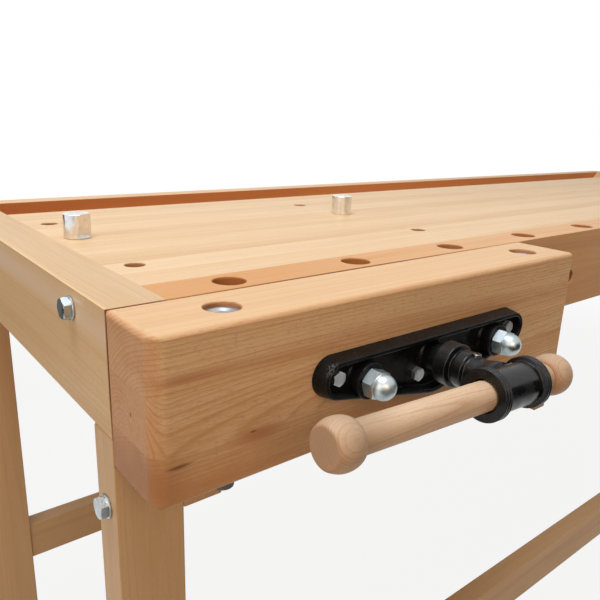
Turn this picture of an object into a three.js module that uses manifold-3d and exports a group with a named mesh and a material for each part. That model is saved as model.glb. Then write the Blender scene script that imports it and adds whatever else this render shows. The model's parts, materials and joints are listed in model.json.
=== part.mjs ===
// Woodworking bench with a front vise and an end vise, in millimetres, +Z up.
// Bench coordinates: X from the left end, Y from the front face backwards, Z from the floor.
// Each vise is drawn in its own frame: origin on the bench face at the screw axis,
// X along the jaw, Y into the bench, Z up.

import * as THREE from "three";
import { mergeVertices } from "three/addons/utils/BufferGeometryUtils.js";
import Module from "manifold-3d";

// Bench top
const BENCH_LENGTH = 1900;
const BENCH_DEPTH = 607;
const BENCH_HEIGHT = 800;
const APRON_HEIGHT = 106;
const BEAM_THICKNESS = 47;
const END_CAP_WIDTH = 49;
const PANEL_THICKNESS = 40;
const BACK_RAIL_THICKNESS = 37;
const TRAY_WIDTH = 108;
const TRAY_FLOOR_THICKNESS = 12;
const TRAY_FLOOR_LAP = 15;
const RAMP_RUN = 50;

// Dogs and their holes
const DOG_HEAD_RADIUS = 14.7;
const DOG_HEAD_HEIGHT = 27;
const DOG_SHANK_RADIUS = 9.5;
const DOG_FLAT_DEPTH = 2.6;
const DOG_FLAT_LEAN = 7;
const DOG_FLAT_FOOT = 1;
const DOG_DISH_RADIUS = 9;
const DOG_DISH_DEPTH = 1.5;
const DOG_CHAMFER = 0.8;
const DOG_RECESS = 4;
const JAW_DOG_TAIL = 23;
const BENCH_DOG_SHANK = 62;
const BENCH_DOG_TURNS = [-60, -12];
const JAW_DOG_TURN = 90;
const DOG_HOLE_FIRST = 120;
const DOG_HOLE_PITCH = 150;
const DOG_HOLE_END_MARGIN = 60;
const SMALL_HOLE_ROWS = [118, 270, 371];
const STANDING_DOG_ROW = 1;
const PEG_HOLE_PLACE = 662;
const PEG_HOLE_DROP = 63;
const PEG_HOLE_RADIUS = 9.5;

// Base
const LEG_WIDTH = 60;
const LEG_THICKNESS = 38;
const RIGHT_FRAME_INSET = 150;
const BEARER_THICKNESS = 38;
const BEARER_HEIGHT = 84;
const STRETCHER_THICKNESS = 30;
const STRETCHER_HEIGHT = 64;
const STRETCHER_RISE = 180;
const TENON_LENGTH = 30;
const TENON_SHOULDER = 6;

// Hex bolts of the base and the end cap
const BOLT_RADIUS = 5;
const BOLT_ACROSS_FLATS = 17;
const BOLT_HEAD_HEIGHT = 6.4;
const WASHER_RADIUS = 10.5;
const WASHER_THICKNESS = 2;
const LEG_BOLT_DROP = 68;
const LEG_BOLT_GRIP = 30;
const CAP_BOLT_GRIP = 70;
const CAP_BOLT_PLACES = [74, 335];
const CAP_BOLT_DROP = 18;

// Vise jaws
const JAW_LENGTH = 522;
const JAW_THICKNESS = 70.6;
const JAW_HEIGHT = 129.6;
const JAW_EDGE_ROUND = 4.5;
const JAW_CORNER_ROUND = 5;
const JAW_GAP = 2.2;
const VISE_OFFSET = 274;
const SCREW_DROP = 69;
const JAW_DOG_SPREAD = 198.5;
const JAW_TRAVEL = 150;

// Guide rods, spindle and the fixed housing behind the bench face
const ROD_SPREAD = 88;
const ROD_RADIUS = 11;
const ROD_THREAD_RADIUS = 8;
const ROD_SPARE = 30;
const SPINDLE_RADIUS = 11;
const SPINDLE_NOSE_RADIUS = 9;
const COLLAR_RADIUS = 17;
const COLLAR_LENGTH = 8;
const HOUSING_LENGTH = 70;
const HOUSING_FLANGE = 10;
const HOUSING_MARGIN = 27;
const SLEEVE_WALL = 6;
const NUT_WALL = 8;

// Cast plate on the jaw
const PLATE_LENGTH = 275;
const PLATE_END_RADIUS = 18.6;
const PLATE_END_RISE = 6.5;
const PLATE_BELLY_DROP = 36;
const PLATE_BELLY_RADIUS = 48;
const PLATE_DEPTH = 15;
const PLATE_FLOOR = 5.5;
const PLATE_RIM = 4;
const PLATE_DRAFT = 2.4;
const ROD_BOSS_RADIUS = 16;
const ROD_BOSS_REACH = 18.5;
const SPINDLE_BOSS_RADIUS = 14.6;
const SPINDLE_BOSS_REACH = 23.7;
const OUTER_SCREW_SPREAD = 117;
const INNER_SCREW_SPREAD = 19;
const INNER_SCREW_DROP = 13;
const PLATE_SCREW_RADIUS = 4;
const PLATE_SCREW_ACROSS_FLATS = 12;
const PLATE_SCREW_HEAD = 5.3;
const PLATE_SCREW_GRIP = 40;

// Domed cap nuts on the guide rods
const CAP_NUT_ACROSS_FLATS = 23;
const CAP_NUT_HEX_HEIGHT = 11;
const CAP_NUT_DOME_RADIUS = 11.2;
const CAP_NUT_DOME_CENTRE = 12.5;

// Hub that carries the handle
const HUB_REACH = 90;
const HUB_FLANGE_RADIUS = 20;
const HUB_FLANGE_LENGTH = 14;
const HUB_GROOVE_WIDTH = 3.5;
const HUB_RING_RADIUS = 17;
const HUB_RING_LENGTH = 10;
const HUB_NECK_RADIUS = 14.5;
const HUB_SOCKET_DEPTH = 40;
const BARREL_RADIUS = 18.5;
const BARREL_LENGTH = 65;
const BARREL_OFFSET = -5;
const BARREL_RING_RADIUS = 22;
const BARREL_RING_WIDTH = 9;
const GRUB_SCREW_RADIUS = 3.5;
const GRUB_SCREW_TOP = 17.3;
const GRUB_SCREW_REACH = 55;

// Wooden handle
const HANDLE_LENGTH = 276;
const HANDLE_RADIUS = 12.4;
const HANDLE_TILT = 3;
const HANDLE_TENON_RADIUS = 8;
const HANDLE_TENON_LENGTH = 16;
const KNOB_RADIUS = 18.5;
const KNOB_FACE_RADIUS = 14.8;
const KNOB_LENGTH = 25;
const KNOB_CROWN = 12;
const FRONT_HANDLE_SLIDE = -64;
const END_HANDLE_SLIDE = 0;

// Clearances
const SEAT_GAP = 0.2;
const FIT_GAP = 0.3;
const RUN_GAP = 0.35;
const HANDLE_PLAY = 0.9;
const CUT_OVERRUN = 5;
const JOIN_OVERLAP = 0.2;

// Facets
const HEX_SIDES = 6;
const ROUND_SIDES = 20;
const BORE_SIDES = 12;
const SMALL_SIDES = 8;
const EDGE_STEPS = 3;
const DOME_STEPS = 5;

const BEECH = { color: 0xd9a574, roughness: 0.55, metalness: 0 };
const PALE_BEECH = { color: 0xe6c59e, roughness: 0.6, metalness: 0 };
const BLACK_IRON = { color: 0x16181a, roughness: 0.42, metalness: 0.3 };
const BRIGHT_STEEL = { color: 0xc4c8ca, roughness: 0.22, metalness: 1 };
const ZINC = { color: 0xaab2b4, roughness: 0.38, metalness: 1 };

// Places worked out from the driving dimensions
const topLevel = BENCH_HEIGHT;
const apronLevel = topLevel - APRON_HEIGHT;
const panelUnderside = topLevel - PANEL_THICKNESS;
const innerRight = BENCH_LENGTH - END_CAP_WIDTH;
const railFront = BENCH_DEPTH - BACK_RAIL_THICKNESS;
const panelBack = railFront - TRAY_WIDTH;
const beamCentre = BEAM_THICKNESS / 2;
const screwLevel = topLevel - SCREW_DROP;
const dogSeatDepth = DOG_RECESS + DOG_HEAD_HEIGHT;
const jawFront = -(JAW_GAP + JAW_THICKNESS);
const handleSag = HANDLE_PLAY - FIT_GAP;
const smallHoleColumns = [VISE_OFFSET - JAW_DOG_SPREAD, VISE_OFFSET + JAW_DOG_SPREAD];

const wasm = await Module();
wasm.setup();

// Solid of a closed geometry, for joining and cutting.
function solid(geometry) {
  const bare = geometry.clone();
  bare.deleteAttribute("normal");
  bare.deleteAttribute("uv");
  const merged = mergeVertices(bare);
  const mesh = new wasm.Mesh({
    numProp: 3,
    vertProperties: new Float32Array(merged.attributes.position.array),
    triVerts: new Uint32Array(merged.index.array),
  });
  return new wasm.Manifold(mesh);
}

// Geometry of a blank with other solids joined to it and then others cut away.
function shaped(blank, { joins = [], cuts = [] }) {
  let body = solid(blank);
  for (const join of joins) {
    body = body.add(solid(join));
  }
  for (const cut of cuts) {
    body = body.subtract(solid(cut));
  }
  const mesh = body.getMesh();
  const geometry = new THREE.BufferGeometry();
  geometry.setAttribute("position", new THREE.BufferAttribute(new Float32Array(mesh.vertProperties), 3));
  geometry.setIndex(new THREE.BufferAttribute(new Uint32Array(mesh.triVerts), 1));
  geometry.computeVertexNormals();
  return geometry;
}

function addPiece(group, name, geometry, finish) {
  const mesh = new THREE.Mesh(geometry, new THREE.MeshStandardMaterial(finish));
  mesh.name = name;
  group.add(mesh);
}

// Square-edged board between its lowest and highest corners.
function board(low, high) {
  const geometry = new THREE.BoxGeometry(1, 1, 1);
  const corners = geometry.attributes.position;
  for (let i = 0; i < corners.count; i += 1) {
    const signs = [corners.getX(i), corners.getY(i), corners.getZ(i)];
    corners.setXYZ(i, ...signs.map((sign, axis) => (sign < 0 ? low[axis] : high[axis])));
  }
  return geometry;
}

// Prism of a regular section from one point to another.
function bar(radius, from, to, sides = BORE_SIDES) {
  const start = new THREE.Vector3(...from);
  const along = new THREE.Vector3(...to).sub(start);
  const length = along.length();
  const geometry = new THREE.CylinderGeometry(radius, radius, length, sides);
  geometry.translate(0, length / 2, 0);
  return standing(geometry, along.normalize(), start);
}

// Turns a geometry's own Y axis to a direction and moves its origin to a place.
function standing(geometry, direction, place) {
  const turn = new THREE.Quaternion().setFromUnitVectors(THREE.Object3D.DEFAULT_UP, direction);
  geometry.applyQuaternion(turn);
  geometry.translate(place.x, place.y, place.z);
  return geometry;
}

// Round hole to cut, faceted outside its radius so that all of that radius is clear.
function bore(radius, from, to, sides = BORE_SIDES) {
  return bar(radius / Math.cos(Math.PI / sides), from, to, sides);
}

// Turned piece: pairs of radius and distance along the axis, from the start point on.
function turned(profile, from, direction, sides = ROUND_SIDES) {
  const points = profile.map(([radius, distance]) => new THREE.Vector2(radius, distance));
  const geometry = new THREE.LatheGeometry(points, sides);
  return standing(geometry, new THREE.Vector3(...direction), new THREE.Vector3(...from));
}

function hexRadius(acrossFlats) {
  return acrossFlats / Math.sqrt(3);
}

// Hex bolt along X with a washer; seat is the face it bears on, inward is +1 or -1.
function hexBolt(seat, y, z, inward, grip) {
  const washerBack = seat - inward * SEAT_GAP;
  const headBack = washerBack - inward * WASHER_THICKNESS;
  const headFront = headBack - inward * BOLT_HEAD_HEIGHT;
  const insideHead = headBack - inward * JOIN_OVERLAP;
  const head = bar(hexRadius(BOLT_ACROSS_FLATS), [headFront, y, z], [headBack, y, z], HEX_SIDES);
  const washer = bar(WASHER_RADIUS, [insideHead, y, z], [washerBack, y, z], ROUND_SIDES);
  const shank = bar(BOLT_RADIUS, [insideHead, y, z], [seat + inward * grip, y, z], SMALL_SIDES);
  return shaped(head, { joins: [washer, shank] });
}

function hexBoltHole(seat, y, z, inward, grip) {
  const mouth = seat - inward * CUT_OVERRUN;
  return bore(BOLT_RADIUS + FIT_GAP, [mouth, y, z], [seat + inward * (grip + FIT_GAP), y, z], SMALL_SIDES);
}

// Dog with its head's underside at the origin, a dished top, and a flat on +X that leans out upwards.
function dog(shankLength, turn) {
  const rim = DOG_HEAD_HEIGHT;
  const blank = turned(
    [
      [0, -shankLength],
      [DOG_SHANK_RADIUS - DOG_CHAMFER, -shankLength],
      [DOG_SHANK_RADIUS, DOG_CHAMFER - shankLength],
      [DOG_SHANK_RADIUS, 0],
      [DOG_HEAD_RADIUS, 0],
      [DOG_HEAD_RADIUS, rim - DOG_CHAMFER],
      [DOG_HEAD_RADIUS - DOG_CHAMFER, rim],
      [DOG_DISH_RADIUS, rim],
      [DOG_DISH_RADIUS - DOG_DISH_DEPTH, rim - DOG_DISH_DEPTH],
      [0, rim - DOG_DISH_DEPTH],
    ],
    [0, 0, 0],
    [0, 0, 1],
  );
  const geometry = shaped(blank, { cuts: [dogFlat(rim)] });
  geometry.rotateZ(THREE.MathUtils.degToRad(turn));
  return geometry;
}

// Wedge that is cut off a dog's head, from the flat's foot up past the rim.
function dogFlat(rim) {
  const slope = Math.tan(THREE.MathUtils.degToRad(DOG_FLAT_LEAN));
  const onFlat = (z) => DOG_HEAD_RADIUS - DOG_FLAT_DEPTH - slope * (rim - z);
  const outside = DOG_HEAD_RADIUS + CUT_OVERRUN;
  const above = rim + CUT_OVERRUN;
  const outline = new THREE.Shape();
  outline.moveTo(onFlat(DOG_FLAT_FOOT), DOG_FLAT_FOOT);
  outline.lineTo(outside, DOG_FLAT_FOOT);
  outline.lineTo(outside, above);
  outline.lineTo(onFlat(above), above);
  const width = 2 * DOG_HEAD_RADIUS + 2 * CUT_OVERRUN;
  const geometry = new THREE.ExtrudeGeometry(outline, { depth: width, bevelEnabled: false });
  geometry.rotateX(Math.PI / 2);
  geometry.translate(0, width / 2, 0);
  return geometry;
}

// Dog hole from the top face down: a wide seat for the head, and a bore for the shank if it goes through.
function dogHole(x, y, top, bottom, through) {
  const seatEnds = [top - dogSeatDepth, top + CUT_OVERRUN].map((z) => [x, y, z]);
  const seat = bore(DOG_HEAD_RADIUS + FIT_GAP, ...seatEnds, ROUND_SIDES);
  if (!through) {
    return [seat];
  }
  return [seat, bore(DOG_SHANK_RADIUS + FIT_GAP, [x, y, bottom - CUT_OVERRUN], [x, y, top - CUT_OVERRUN])];
}

// Bores that the spindle and the guide rods run in, in the vise's frame, from one depth to another.
function runningBores(from, to) {
  const rods = [-ROD_SPREAD, ROD_SPREAD].map((x) => bore(ROD_RADIUS + RUN_GAP, [x, from, 0], [x, to, 0]));
  return [bore(SPINDLE_RADIUS + RUN_GAP, [0, from, 0], [0, to, 0]), ...rods];
}

// Vise frames in the bench: the front one on the beam, the end one on the right end cap.
const frontFrame = new THREE.Matrix4().makeTranslation(VISE_OFFSET, 0, screwLevel);
const endFrame = new THREE.Matrix4().makeTranslation(BENCH_LENGTH, VISE_OFFSET, screwLevel);
endFrame.multiply(new THREE.Matrix4().makeRotationZ(Math.PI / 2));

function boresThrough(frame, thickness) {
  const bores = runningBores(-CUT_OVERRUN, thickness + CUT_OVERRUN);
  return bores.map((hole) => hole.applyMatrix4(frame));
}

// Bench top: front beam, end caps, panel and tool tray
function addTop(group) {
  const beamCuts = boresThrough(frontFrame, BEAM_THICKNESS);
  const lastHole = innerRight - DOG_HOLE_END_MARGIN;
  for (let x = DOG_HOLE_FIRST; x <= lastHole; x += DOG_HOLE_PITCH) {
    const besideScrew = Math.abs(x - VISE_OFFSET) < SPINDLE_RADIUS + DOG_HEAD_RADIUS;
    beamCuts.push(...dogHole(x, beamCentre, topLevel, apronLevel, !besideScrew));
  }
  const pegLevel = topLevel - PEG_HOLE_DROP;
  const pegEnds = [-CUT_OVERRUN, BEAM_THICKNESS + CUT_OVERRUN];
  const pegHole = bore(PEG_HOLE_RADIUS, ...pegEnds.map((y) => [PEG_HOLE_PLACE, y, pegLevel]), ROUND_SIDES);
  beamCuts.push(pegHole);
  const beam = board([END_CAP_WIDTH, 0, apronLevel], [innerRight, BEAM_THICKNESS, topLevel]);
  addPiece(group, "front_beam", shaped(beam, { cuts: beamCuts }), BEECH);

  const boltLevel = topLevel - CAP_BOLT_DROP;
  const capBoltHoles = CAP_BOLT_PLACES.map((y) => hexBoltHole(0, y, boltLevel, 1, CAP_BOLT_GRIP));
  const smallHoles = SMALL_HOLE_ROWS.flatMap((y) =>
    smallHoleColumns.map((x) =>
      bore(
        DOG_SHANK_RADIUS + FIT_GAP,
        [x, y, panelUnderside - CUT_OVERRUN],
        [x, y, topLevel + CUT_OVERRUN],
        ROUND_SIDES,
      ),
    ),
  );
  const panel = board([END_CAP_WIDTH, BEAM_THICKNESS, panelUnderside], [innerRight, panelBack, topLevel]);
  addPiece(group, "top_panel", shaped(panel, { cuts: [...smallHoles, ...capBoltHoles] }), PALE_BEECH);

  const leftCap = board([0, 0, apronLevel], [END_CAP_WIDTH, BENCH_DEPTH, topLevel]);
  addPiece(group, "end_cap_left", shaped(leftCap, { cuts: capBoltHoles }), BEECH);
  const rightCap = board([innerRight, 0, apronLevel], [BENCH_LENGTH, BENCH_DEPTH, topLevel]);
  addPiece(group, "end_cap_right", shaped(rightCap, { cuts: boresThrough(endFrame, END_CAP_WIDTH) }), BEECH);
  CAP_BOLT_PLACES.forEach((y, i) => {
    addPiece(group, "cap_bolt_" + ["front", "back"][i], hexBolt(0, y, boltLevel, 1, CAP_BOLT_GRIP), ZINC);
  });

  const backRail = board([END_CAP_WIDTH, railFront, apronLevel], [innerRight, BENCH_DEPTH, topLevel]);
  addPiece(group, "back_rail", backRail, BEECH);
  const trayFloor = board(
    [END_CAP_WIDTH, panelBack - TRAY_FLOOR_LAP, panelUnderside - TRAY_FLOOR_THICKNESS],
    [innerRight, railFront, panelUnderside],
  );
  addPiece(group, "tray_floor", trayFloor, PALE_BEECH);
  addPiece(group, "tray_ramp_left", trayRamp(END_CAP_WIDTH, 1), PALE_BEECH);
  addPiece(group, "tray_ramp_right", trayRamp(innerRight, -1), PALE_BEECH);
}

// Wedge that slopes from an end cap's top edge down to the tray's floor.
function trayRamp(capFace, inward) {
  const toe = capFace + inward * RAMP_RUN;
  const outline = new THREE.Shape();
  outline.moveTo(capFace, topLevel);
  outline.lineTo(capFace, panelUnderside);
  outline.lineTo(toe, panelUnderside);
  const width = TRAY_WIDTH - 2 * FIT_GAP;
  const geometry = new THREE.ExtrudeGeometry(outline, { depth: width, bevelEnabled: false });
  geometry.rotateX(Math.PI / 2);
  geometry.translate(0, railFront - FIT_GAP, 0);
  return geometry;
}

// A rail along X with a stub tenon on each end, and the mortises that take it.
function tenonedRail(low, high) {
  const tenonCorner = (corner, outward, gap) =>
    corner.map((value, axis) => value + outward * (gap + (axis === 0 ? TENON_LENGTH : -TENON_SHOULDER)));
  const tenon = board(tenonCorner(low, -1, 0), tenonCorner(high, 1, 0));
  const mortise = board(tenonCorner(low, -1, FIT_GAP), tenonCorner(high, 1, FIT_GAP));
  return { rail: shaped(board(low, high), { joins: [tenon] }), mortise };
}

// Base: two legs and a bolted bearer at each end, tied together by a front and a back stretcher
function addBase(group) {
  const ends = {
    left: { outer: 0, inward: 1 },
    right: { outer: BENCH_LENGTH - RIGHT_FRAME_INSET, inward: -1 },
  };
  const sides = {
    front: [0, LEG_THICKNESS],
    back: [BENCH_DEPTH - LEG_THICKNESS, BENCH_DEPTH],
  };
  const boltLevel = apronLevel - LEG_BOLT_DROP;
  const boltGrip = LEG_WIDTH + LEG_BOLT_GRIP;
  const legInner = ({ outer, inward }) => outer + inward * LEG_WIDTH;
  const boltHoles = [];

  for (const [side, [front, back]] of Object.entries(sides)) {
    const middle = (front + back) / 2;
    const { rail, mortise } = tenonedRail(
      [legInner(ends.left), middle - STRETCHER_THICKNESS / 2, STRETCHER_RISE],
      [legInner(ends.right), middle + STRETCHER_THICKNESS / 2, STRETCHER_RISE + STRETCHER_HEIGHT],
    );
    addPiece(group, "stretcher_" + side, rail, BEECH);
    for (const [end, { outer, inward }] of Object.entries(ends)) {
      const inner = legInner(ends[end]);
      const leg = board([Math.min(outer, inner), front, 0], [Math.max(outer, inner), back, apronLevel]);
      const boltHole = hexBoltHole(outer, middle, boltLevel, inward, boltGrip);
      addPiece(group, "leg_" + side + "_" + end, shaped(leg, { cuts: [mortise, boltHole] }), BEECH);
      const bolt = hexBolt(outer, middle, boltLevel, inward, boltGrip);
      addPiece(group, "leg_bolt_" + side + "_" + end, bolt, ZINC);
      boltHoles.push(boltHole);
    }
  }
  for (const [end, frame] of Object.entries(ends)) {
    const outer = legInner(frame);
    const inner = outer + frame.inward * BEARER_THICKNESS;
    const bearer = board(
      [Math.min(outer, inner), 0, apronLevel - BEARER_HEIGHT],
      [Math.max(outer, inner), BENCH_DEPTH, apronLevel],
    );
    addPiece(group, "bearer_" + end, shaped(bearer, { cuts: boltHoles }), BEECH);
  }
}

// Outline of the cast plate, drawn in by an inset: two round ends, a straight top and a belly below.
function plateOutline(inset) {
  const endCentre = PLATE_LENGTH / 2 - PLATE_END_RADIUS;
  const bellyCentre = PLATE_BELLY_RADIUS - PLATE_BELLY_DROP;
  const rise = PLATE_END_RISE - bellyCentre;
  const spacing = Math.hypot(endCentre, rise);
  const slope = Math.atan2(rise, endCentre);
  const tangent = slope - Math.acos((PLATE_BELLY_RADIUS - PLATE_END_RADIUS) / spacing);
  const endRadius = PLATE_END_RADIUS - inset;
  const outline = new THREE.Shape();
  outline.absarc(endCentre, PLATE_END_RISE, endRadius, tangent, Math.PI / 2, false);
  outline.absarc(-endCentre, PLATE_END_RISE, endRadius, Math.PI / 2, Math.PI - tangent, false);
  outline.absarc(0, bellyCentre, PLATE_BELLY_RADIUS - inset, -Math.PI - tangent, tangent, false);
  outline.closePath();
  return outline;
}

// Extrusion of an outline in the jaw's face, from one distance in front of the face to another.
function raised(outline, from, to) {
  const geometry = new THREE.ExtrudeGeometry(outline, {
    depth: to - from,
    bevelEnabled: false,
    curveSegments: 2 * EDGE_STEPS,
  });
  geometry.rotateX(Math.PI / 2);
  geometry.translate(0, jawFront - from, 0);
  return geometry;
}

function plateScrewPlaces() {
  return [
    [-OUTER_SCREW_SPREAD, PLATE_END_RISE],
    [OUTER_SCREW_SPREAD, PLATE_END_RISE],
    [-INNER_SCREW_SPREAD, -INNER_SCREW_DROP],
    [INNER_SCREW_SPREAD, -INNER_SCREW_DROP],
  ];
}

// Wooden jaw with its front edges and its four corners rounded and a square back against the bench,
// bored for the dogs, rods, spindle and screws.
function jaw(dogPlaces, screwPlaces) {
  const left = -VISE_OFFSET;
  const right = left + JAW_LENGTH;
  const bottom = SCREW_DROP - JAW_HEIGHT;
  const back = jawFront + JAW_THICKNESS;
  const middle = (jawFront + back) / 2;
  const round = JAW_CORNER_ROUND;
  const face = new THREE.Shape();
  face.absarc(right - round, SCREW_DROP - round, round, 0, Math.PI / 2, false);
  face.absarc(left + round, SCREW_DROP - round, round, Math.PI / 2, Math.PI, false);
  face.absarc(left + round, bottom + round, round, Math.PI, 1.5 * Math.PI, false);
  face.absarc(right - round, bottom + round, round, 1.5 * Math.PI, 2 * Math.PI, false);
  face.closePath();
  const blank = new THREE.ExtrudeGeometry(face, {
    depth: JAW_THICKNESS - JAW_EDGE_ROUND + CUT_OVERRUN,
    curveSegments: EDGE_STEPS,
    bevelThickness: JAW_EDGE_ROUND,
    bevelSize: JAW_EDGE_ROUND,
    bevelOffset: -JAW_EDGE_ROUND,
    bevelSegments: EDGE_STEPS,
  });
  blank.rotateX(Math.PI / 2);
  blank.translate(0, back + CUT_OVERRUN, 0);
  const waste = board(
    [left - CUT_OVERRUN, back, bottom - CUT_OVERRUN],
    [right + CUT_OVERRUN, back + JAW_EDGE_ROUND + 2 * CUT_OVERRUN, SCREW_DROP + CUT_OVERRUN],
  );
  const cuts = [waste, ...runningBores(jawFront - CUT_OVERRUN, back + CUT_OVERRUN)];
  const collarBack = jawFront + COLLAR_LENGTH + 2 * FIT_GAP;
  cuts.push(bore(COLLAR_RADIUS + RUN_GAP, [0, jawFront - CUT_OVERRUN, 0], [0, collarBack, 0], ROUND_SIDES));
  for (const x of dogPlaces) {
    cuts.push(...dogHole(x, middle, SCREW_DROP, bottom, true));
  }
  const screwEnd = jawFront + PLATE_SCREW_GRIP + FIT_GAP;
  for (const [x, z] of screwPlaces) {
    const ends = [jawFront - CUT_OVERRUN, screwEnd].map((y) => [x, y, z]);
    cuts.push(bore(PLATE_SCREW_RADIUS + FIT_GAP, ...ends, SMALL_SIDES));
  }
  return shaped(blank, { cuts });
}

// Cast plate: a tray with drafted sides and a raised rim, a boss under each cap nut and a long boss
// round the spindle.
function visePlate(screwPlaces) {
  const back = jawFront - SEAT_GAP;
  const front = jawFront - PLATE_DEPTH - CUT_OVERRUN;
  const blank = new THREE.ExtrudeGeometry(plateOutline(0), {
    depth: CUT_OVERRUN,
    curveSegments: 2 * EDGE_STEPS,
    bevelThickness: PLATE_DEPTH - SEAT_GAP,
    bevelSize: PLATE_DRAFT,
    bevelOffset: -PLATE_DRAFT,
    bevelSegments: 1,
  });
  blank.rotateX(Math.PI / 2);
  blank.translate(0, back + CUT_OVERRUN, 0);
  const waste = board(
    [-PLATE_LENGTH, back, -PLATE_LENGTH],
    [PLATE_LENGTH, back + PLATE_DEPTH + 2 * CUT_OVERRUN, PLATE_LENGTH],
  );
  const pocket = raised(plateOutline(PLATE_DRAFT + PLATE_RIM), PLATE_FLOOR, PLATE_DEPTH + CUT_OVERRUN);
  const tray = shaped(blank, { cuts: [waste, pocket] });
  const bosses = [-ROD_SPREAD, ROD_SPREAD].map((x) =>
    bar(ROD_BOSS_RADIUS, [x, back, 0], [x, jawFront - ROD_BOSS_REACH, 0], ROUND_SIDES),
  );
  bosses.push(bar(SPINDLE_BOSS_RADIUS, [0, back, 0], [0, jawFront - SPINDLE_BOSS_REACH, 0], ROUND_SIDES));
  const rodBossEnd = jawFront - ROD_BOSS_REACH - CUT_OVERRUN;
  const spindleBossEnd = jawFront - SPINDLE_BOSS_REACH - CUT_OVERRUN;
  const cuts = [-ROD_SPREAD, ROD_SPREAD].map((x) =>
    bore(ROD_THREAD_RADIUS + FIT_GAP, [x, jawFront + CUT_OVERRUN, 0], [x, rodBossEnd, 0]),
  );
  cuts.push(bore(SPINDLE_NOSE_RADIUS + RUN_GAP, [0, jawFront + CUT_OVERRUN, 0], [0, spindleBossEnd, 0]));
  for (const [x, z] of screwPlaces) {
    cuts.push(bore(PLATE_SCREW_RADIUS + FIT_GAP, [x, jawFront + CUT_OVERRUN, z], [x, front, z], SMALL_SIDES));
  }
  return shaped(tray, { joins: bosses, cuts });
}

function plateScrew(x, z) {
  const headBack = jawFront - PLATE_FLOOR - SEAT_GAP;
  const headFront = headBack - PLATE_SCREW_HEAD;
  const head = bar(hexRadius(PLATE_SCREW_ACROSS_FLATS), [x, headFront, z], [x, headBack, z], HEX_SIDES);
  const shank = bar(
    PLATE_SCREW_RADIUS,
    [x, headBack - JOIN_OVERLAP, z],
    [x, jawFront + PLATE_SCREW_GRIP, z],
    SMALL_SIDES,
  );
  return shaped(head, { joins: [shank] });
}

// Guide rod: a threaded end in the cap nut, a shoulder behind the plate and a long plain bar.
function guideRod(x, rearEnd) {
  const tip = jawFront - ROD_BOSS_REACH - CAP_NUT_HEX_HEIGHT;
  const shoulder = jawFront + FIT_GAP - tip;
  const profile = [
    [0, 0],
    [ROD_THREAD_RADIUS, 0],
    [ROD_THREAD_RADIUS, shoulder],
    [ROD_RADIUS, shoulder],
    [ROD_RADIUS, rearEnd - tip],
    [0, rearEnd - tip],
  ];
  return turned(profile, [x, tip, 0], [0, 1, 0], BORE_SIDES);
}

// Domed cap nut on the rod's boss.
function capNut(x) {
  const seat = jawFront - ROD_BOSS_REACH - SEAT_GAP;
  const hexEnds = [seat, seat - CAP_NUT_HEX_HEIGHT].map((y) => [x, y, 0]);
  const hex = bar(hexRadius(CAP_NUT_ACROSS_FLATS), ...hexEnds, HEX_SIDES);
  const profile = [
    [0, 0],
    [CAP_NUT_DOME_RADIUS, 0],
  ];
  for (let i = 0; i <= DOME_STEPS; i += 1) {
    const angle = ((i / DOME_STEPS) * Math.PI) / 2;
    const radius = i === DOME_STEPS ? 0 : CAP_NUT_DOME_RADIUS * Math.cos(angle);
    profile.push([radius, CAP_NUT_DOME_CENTRE + CAP_NUT_DOME_RADIUS * Math.sin(angle)]);
  }
  const dome = turned(profile, [x, seat, 0], [0, -1, 0], BORE_SIDES);
  const threadEnd = seat - CAP_NUT_HEX_HEIGHT - FIT_GAP;
  const thread = bore(ROD_THREAD_RADIUS + FIT_GAP, [x, seat + CUT_OVERRUN, 0], [x, threadEnd, 0]);
  return shaped(hex, { joins: [dome], cuts: [thread] });
}

// Spindle with the collar that draws the jaw back, from inside the hub to its rear end.
function spindle(rearEnd) {
  const tip = jawFront - SPINDLE_BOSS_REACH - HUB_SOCKET_DEPTH;
  const collarFront = jawFront + FIT_GAP - tip;
  const profile = [
    [0, 0],
    [SPINDLE_NOSE_RADIUS, 0],
    [SPINDLE_NOSE_RADIUS, collarFront],
    [COLLAR_RADIUS, collarFront],
    [COLLAR_RADIUS, collarFront + COLLAR_LENGTH],
    [SPINDLE_RADIUS, collarFront + COLLAR_LENGTH],
    [SPINDLE_RADIUS, rearEnd - tip],
    [0, rearEnd - tip],
  ];
  return turned(profile, [0, tip, 0], [0, 1, 0], BORE_SIDES);
}

// Housing behind the bench face: a flange with the spindle's nut and a sleeve for each rod.
function nutHousing(bearing) {
  const face = bearing + SEAT_GAP;
  const rear = face + HOUSING_LENGTH;
  const halfWidth = ROD_SPREAD + HOUSING_MARGIN;
  const halfHeight = SCREW_DROP - PANEL_THICKNESS - SEAT_GAP;
  const flange = board([-halfWidth, face, -halfHeight], [halfWidth, face + HOUSING_FLANGE, halfHeight]);
  const sleeves = [-ROD_SPREAD, ROD_SPREAD].map((x) =>
    bar(ROD_RADIUS + SLEEVE_WALL, [x, face, 0], [x, rear, 0], ROUND_SIDES),
  );
  sleeves.push(bar(SPINDLE_RADIUS + NUT_WALL, [0, face, 0], [0, rear, 0], ROUND_SIDES));
  const bores = runningBores(face - CUT_OVERRUN, rear + CUT_OVERRUN);
  return shaped(flange, { joins: sleeves, cuts: bores });
}

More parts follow.
